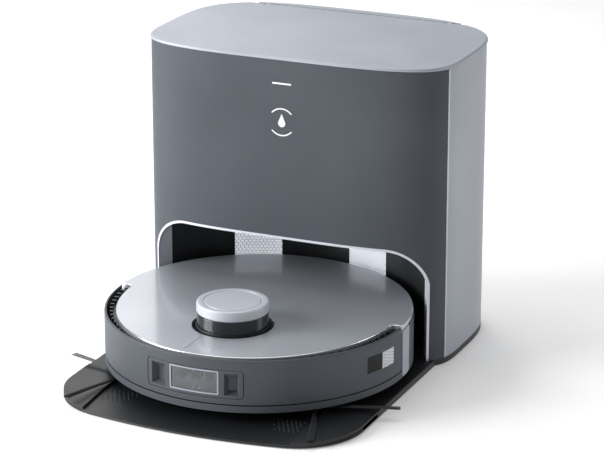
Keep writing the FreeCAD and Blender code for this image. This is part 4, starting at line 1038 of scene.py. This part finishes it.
glass_low, glass_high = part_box("camera_window")
frame_ring = swept_block(R - 3.0 * MM, R - 0.35 * MM, *GLASS_SPAN, glass_low[2], glass_high[2], 1.4 * MM, 20)
carve(frame_ring, swept_block(R - 6.0 * MM, R + 2.0 * MM, GLASS_SPAN[0] + 0.5, GLASS_SPAN[1] - 0.5,
                              glass_low[2] + 1.5 * MM, glass_high[2] - 1.5 * MM, 1.0 * MM))
soften(frame_ring, 0.35 * MM, segments=2, limit=50.0)
fit_out(frame_ring, "camera_glass_frame", "robot", silver_paint, "smoked_window")
pane = swept_block(R - 2.4 * MM, R - 1.2 * MM, GLASS_SPAN[0] + 0.45, GLASS_SPAN[1] - 0.45,
                   glass_low[2] + 1.4 * MM, glass_high[2] - 1.4 * MM, steps=20)
soften(pane, 0.0)
fit_out(pane, "camera_glass", "robot", grey_glass, "smoked_window", "camera_window")

module_grey = moulded("matt_grey_camera_mount", "#868b91", "#92979d", 0.0, 0.6, 0.5, 0.1)
mount = swept_block(158.0 * MM, 168.5 * MM, -16.0, 16.0,
                    bezel_low[2] + 2.0 * MM, bezel_high[2] - 2.0 * MM, steps=20)
soften(mount, 0.5 * MM)
fit_out(mount, "camera_mount", "robot", module_grey, "dark_plastic", "camera_module")


def facing_disc(radius, thick, angle, z, r_face, corners=32):
    """A short round bar that faces outwards from the robot at an angle."""
    select_only()
    bpy.ops.mesh.primitive_cylinder_add(
        vertices=corners, radius=radius, depth=thick,
        location=round_robot(r_face - thick / 2, angle, z), rotation=(math.pi / 2, 0, math.radians(angle)))
    bpy.ops.object.transform_apply(location=True, rotation=True, scale=True)
    return bpy.context.active_object


LENS_Z = 59.3 * MM
for number, angle in enumerate((-4.6, 1.5)):
    barrel_part = facing_disc(6.0 * MM, 6.0 * MM, angle, LENS_Z, R - 3.2 * MM)
    edit(barrel_part)
    pick("FACE", lambda m, f: f.normal.y < -0.8 and f.calc_area() > 50e-6)
    bpy.ops.mesh.inset(thickness=1.1 * MM)
    bpy.ops.mesh.extrude_region_shrink_fatten(TRANSFORM_OT_shrink_fatten={"value": -1.6 * MM})
    leave_edit()
    soften(barrel_part, 0.25 * MM, segments=2)
    fit_out(barrel_part, "lens_barrel_" + str(number + 1), "robot", dark_abs, "dark_plastic")
    eye = facing_disc(4.2 * MM, 1.4 * MM, angle, LENS_Z, R - 3.9 * MM)
    soften(eye, 0.6 * MM, segments=4)
    fit_out(eye, "lens_glass_" + str(number + 1), "robot", black_glass, "smoked_window")

GRID_ANGLE = 6.4
GRID_STEP = 2.3 * MM
emitter = facing_disc(0.55 * MM, 4.0 * MM, GRID_ANGLE, LENS_Z, R - 3.0 * MM, 8)
across = Vector(round_robot(1, GRID_ANGLE + 90.0)) - Vector((0, ROBOT_Y, 0))
spots = [across * ((column - 1.5) * GRID_STEP) + Vector((0, 0, (row - 1.5) * GRID_STEP))
         for row in range(4) for column in range(4)]
emitters = place_copies(emitter, spots, "emitters")
soften(emitters, 0.0)
fit_out(emitters, "light_emitters", "robot", dark_abs, "dark_plastic")
for number, angle in enumerate((0.2, 2.2)):
    lamp = facing_disc(1.0 * MM, 4.0 * MM, angle, glass_low[2] + 5.2 * MM, R - 2.8 * MM, 16)
    soften(lamp, 0.3 * MM, segments=2)
    fit_out(lamp, "signal_spot_" + str(number + 1), "robot", light_guide, "light_white")

# %% [markdown]
# **Side pillars, walls and lower band.** A satin silver pillar covers the joint between bumper
# and rear wall on each side; its ends are rounded. The lower band under the bumper is part of the
# chassis, so a smooth copy of that node is given the bumper's finish on its outer face only.

# %% Pillars, walls and lower band
pillar_low, pillar_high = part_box("side_pillars")
pillars = []
for start, stop in ((90.3, 98.0), (-98.0, -90.3)):
    pillar = swept_block(R - 2.8 * MM, R, start, stop, pillar_low[2], pillar_high[2], 3.2 * MM, 10)
    pillars.append(soften(pillar, 0.9 * MM, segments=3, limit=50.0))
select_only(*pillars)
bpy.ops.object.join()
pillars = bpy.context.active_object
fit_out(pillars, "silver_pillars", "robot", silver_paint, "trim_silver", "side_pillars")

chassis = fit_out(smooth_copy("chassis"), "chassis_skin", "robot", black_abs, "black_plastic", "chassis")
finish_faces(chassis, bumper_abs, lambda p: abs(p.normal.z) < 0.3 and
             (Vector(p.center) - Vector((0, ROBOT_Y, 0))).xy.length > R - 0.5 * MM)
fit_out(smooth_copy("side_wall"), "rear_wall_skin", "robot", bumper_abs, "bumper_grey", "side_wall")
fit_out(smooth_copy("upper_deck"), "deck_skin", "robot", black_abs, "dark_plastic", "upper_deck")

# %% [markdown]
# **Side brushes.** Each brush is a rubber hub with four bundles of nylon bristle that bow a
# little, blunt at the ends. A bristle is a four-sided tube swept along a bowed line; a bundle
# fans out slightly, and every bristle gets its own small seeded turn.

# %% Side brushes
def bristle(start, heading, length, bow, level, thick):
    """One bristle as a thin, level, four-sided tube along a bowed line."""
    across = Vector((-heading.y, heading.x, 0))
    steps = 7
    rings = []
    for i in range(steps + 1):
        t = i / steps
        middle = start + heading * (length * t) + across * (bow * math.sin(math.pi * t * 0.9))
        middle.z = level
        rings.append(middle)
    verts, faces = [], []
    for i, middle in enumerate(rings):
        for side_step, rise in ((thick, 0), (0, thick), (-thick, 0), (0, -thick)):
            verts.append(middle + across * side_step + Vector((0, 0, rise)))
        if i:
            base = 4 * i
            for k in range(4):
                a, b = base + k, base + (k + 1) % 4
                faces.append((a - 4, b - 4, b, a))
    faces.append((3, 2, 1, 0))
    last = 4 * steps
    faces.append((last, last + 1, last + 2, last + 3))
    return verts, faces


HUB_X = 118.0 * MM
HUB_AHEAD = 107.2 * MM
TUFTS = 4
STRANDS = 22
TUFT_Z = 14.3 * MM
for side, side_name, start in ((1, "right", -70.0), (-1, "left", 250.0)):
    body = "side_brush_" + side_name
    hub_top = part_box(body)[1][2]
    hub = Vector((side * HUB_X, ROBOT_Y - HUB_AHEAD, 0))
    verts, faces = [], []
    tuft_angles = [math.radians(start + 90.0 * tuft) for tuft in range(TUFTS)]
    for base_angle in tuft_angles:
        for strand in range(STRANDS):
            share = strand / (STRANDS - 1) - 0.5
            spread = share * 0.060 + random.uniform(-0.004, 0.004)
            heading = Vector((math.cos(base_angle + spread), math.sin(base_angle + spread), 0))
            sideways = Vector((-heading.y, heading.x, 0)) * (share * 2.6 * MM)
            level = TUFT_Z + random.uniform(-0.5, 0.5) * MM
            new_verts, new_faces = bristle(
                hub + heading * 7.0 * MM + sideways, heading, (89.5 + random.uniform(-1.2, 0.6)) * MM,
                side * (2.0 + random.uniform(-0.3, 0.3)) * MM, level, 0.22 * MM)
            offset = len(verts)
            verts += new_verts
            faces += [tuple(offset + k for k in face) for face in new_faces]
    mesh = bpy.data.meshes.new("bristles")
    mesh.from_pydata(verts, [], faces)
    bristles = bpy.data.objects.new("bristles", mesh)
    bpy.context.scene.collection.objects.link(bristles)
    edit(bristles)
    bpy.ops.mesh.normals_make_consistent(inside=False)
    leave_edit()
    soften(bristles, 0.0, shade=50.0)
    fit_out(bristles, "bristles_" + side_name, body, nylon, "rubber", body)
    hub_part = turned([
        (0.0, 13.3 * MM), (8.4 * MM, 13.3 * MM), (9.0 * MM, 13.9 * MM), (9.0 * MM, 19.2 * MM),
        (8.4 * MM, 19.9 * MM), (3.0 * MM, 19.9 * MM), (3.0 * MM, hub_top), (0.0, hub_top)], hub, 48)
    soften(hub_part, 0.0, shade=40.0)
    fit_out(hub_part, "brush_hub_" + side_name, body, rubber, "rubber")
    for tuft, angle in enumerate(tuft_angles):
        grip = hub + Vector((math.cos(angle), math.sin(angle), 0)) * 10.5 * MM
        sleeve = bar((grip.x, grip.y, TUFT_Z), (9.0 * MM, 4.4 * MM, 1.9 * MM), angle)
        soften(sleeve, 0.6 * MM)
        fit_out(sleeve, "tuft_sleeve_" + side_name + "_" + str(tuft + 1), body, rubber, "rubber")

# %% [markdown]
# **Mop pads.** Each spinning pad is a round cushion of looped microfibre. Its section has a full
# rounded edge, and the face is lifted into rows of loops by a small wave in the mesh itself, so
# the nap is really there and not only shaded.

# %% Mop pads
pad_low, pad_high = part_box("mop_pad_right")
pad_mid_z = (pad_low[2] + pad_high[2]) / 2
pad_half = (pad_high[2] - pad_low[2]) / 2
PAD_R = (pad_high[0] - pad_low[0]) / 2
for side_name in ("right", "left"):
    pad_low, pad_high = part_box("mop_pad_" + side_name)
    centre = ((pad_low[0] + pad_high[0]) / 2, (pad_low[1] + pad_high[1]) / 2)
    section = [(0.0, pad_high[2])]
    section += [(PAD_R * t, pad_high[2]) for t in (0.25, 0.5, 0.7, 0.85)]
    section += [(PAD_R - pad_half + pad_half * math.cos(a), pad_mid_z + pad_half * math.sin(a))
                for a in (math.radians(90 - 22.5 * k) for k in range(9))]
    section += [(PAD_R * t, pad_low[2]) for t in [0.93 - 0.031 * k for k in range(30)]]
    section += [(0.0, pad_low[2])]
    pad = turned(section, centre, 120)
    for vertex in pad.data.vertices:
        if vertex.co.z < pad_mid_z:
            out = (vertex.co.xy - Vector(centre)).length
            around = math.atan2(vertex.co.y - centre[1], vertex.co.x - centre[0])
            wave = 0.5 + 0.5 * math.sin(out / (1.15 * MM)) * math.cos(around * 30)
            vertex.co.z += 0.7 * MM * wave * min(1.0, out / (6 * MM))
    soften(pad, 0.0, shade=60.0)
    fit_out(pad, "microfibre_pad_" + side_name, "mop_" + side_name, microfibre, "mop_cloth",
            "mop_pad_" + side_name)

# %% [markdown]
# **Finishes on the solid model's own pieces.** Everything inside the casing or under the robot
# keeps its solid-model shape and gets the finish of its real material.

# %% Finishes for kept pieces
kept_finishes = {
    dark_abs: ["tank_deck", "dust_bin", "brush_housing", "mop_gearbox", "caster_fork",
               "mop_disc_left", "mop_disc_right", "wheel_arm_left", "wheel_arm_right"],
    black_abs: ["wash_basin", "pump_pair", "dryer_fan", "fan_unit", "battery",
                "side_brush_motors", "mains_inlet"],
    rubber: ["station_feet", "drive_wheel_left", "drive_wheel_right", "caster_wheel", "main_brush"],
    plain_steel: ["hinge_pin", "robot_screws"],
    plated_brass: ["charge_plungers", "charge_plates"],
    tank_plastic: ["clean_tank", "waste_tank"],
    circuit_board: ["power_board", "main_board"],
    guide_film: ["dock_markers"],
    light_guide: ["status_light", "emblem"],
    graphite_paint: ["clean_tank_cap", "waste_tank_cap"],
    black_glass: ["lidar_rotor"],
}
for material, names in kept_finishes.items():
    for node_name in names:
        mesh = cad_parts[node_name].data
        mesh.materials.clear()
        mesh.materials.append(material)
print("kept pieces finished:", sum(len(names) for names in kept_finishes.values()))
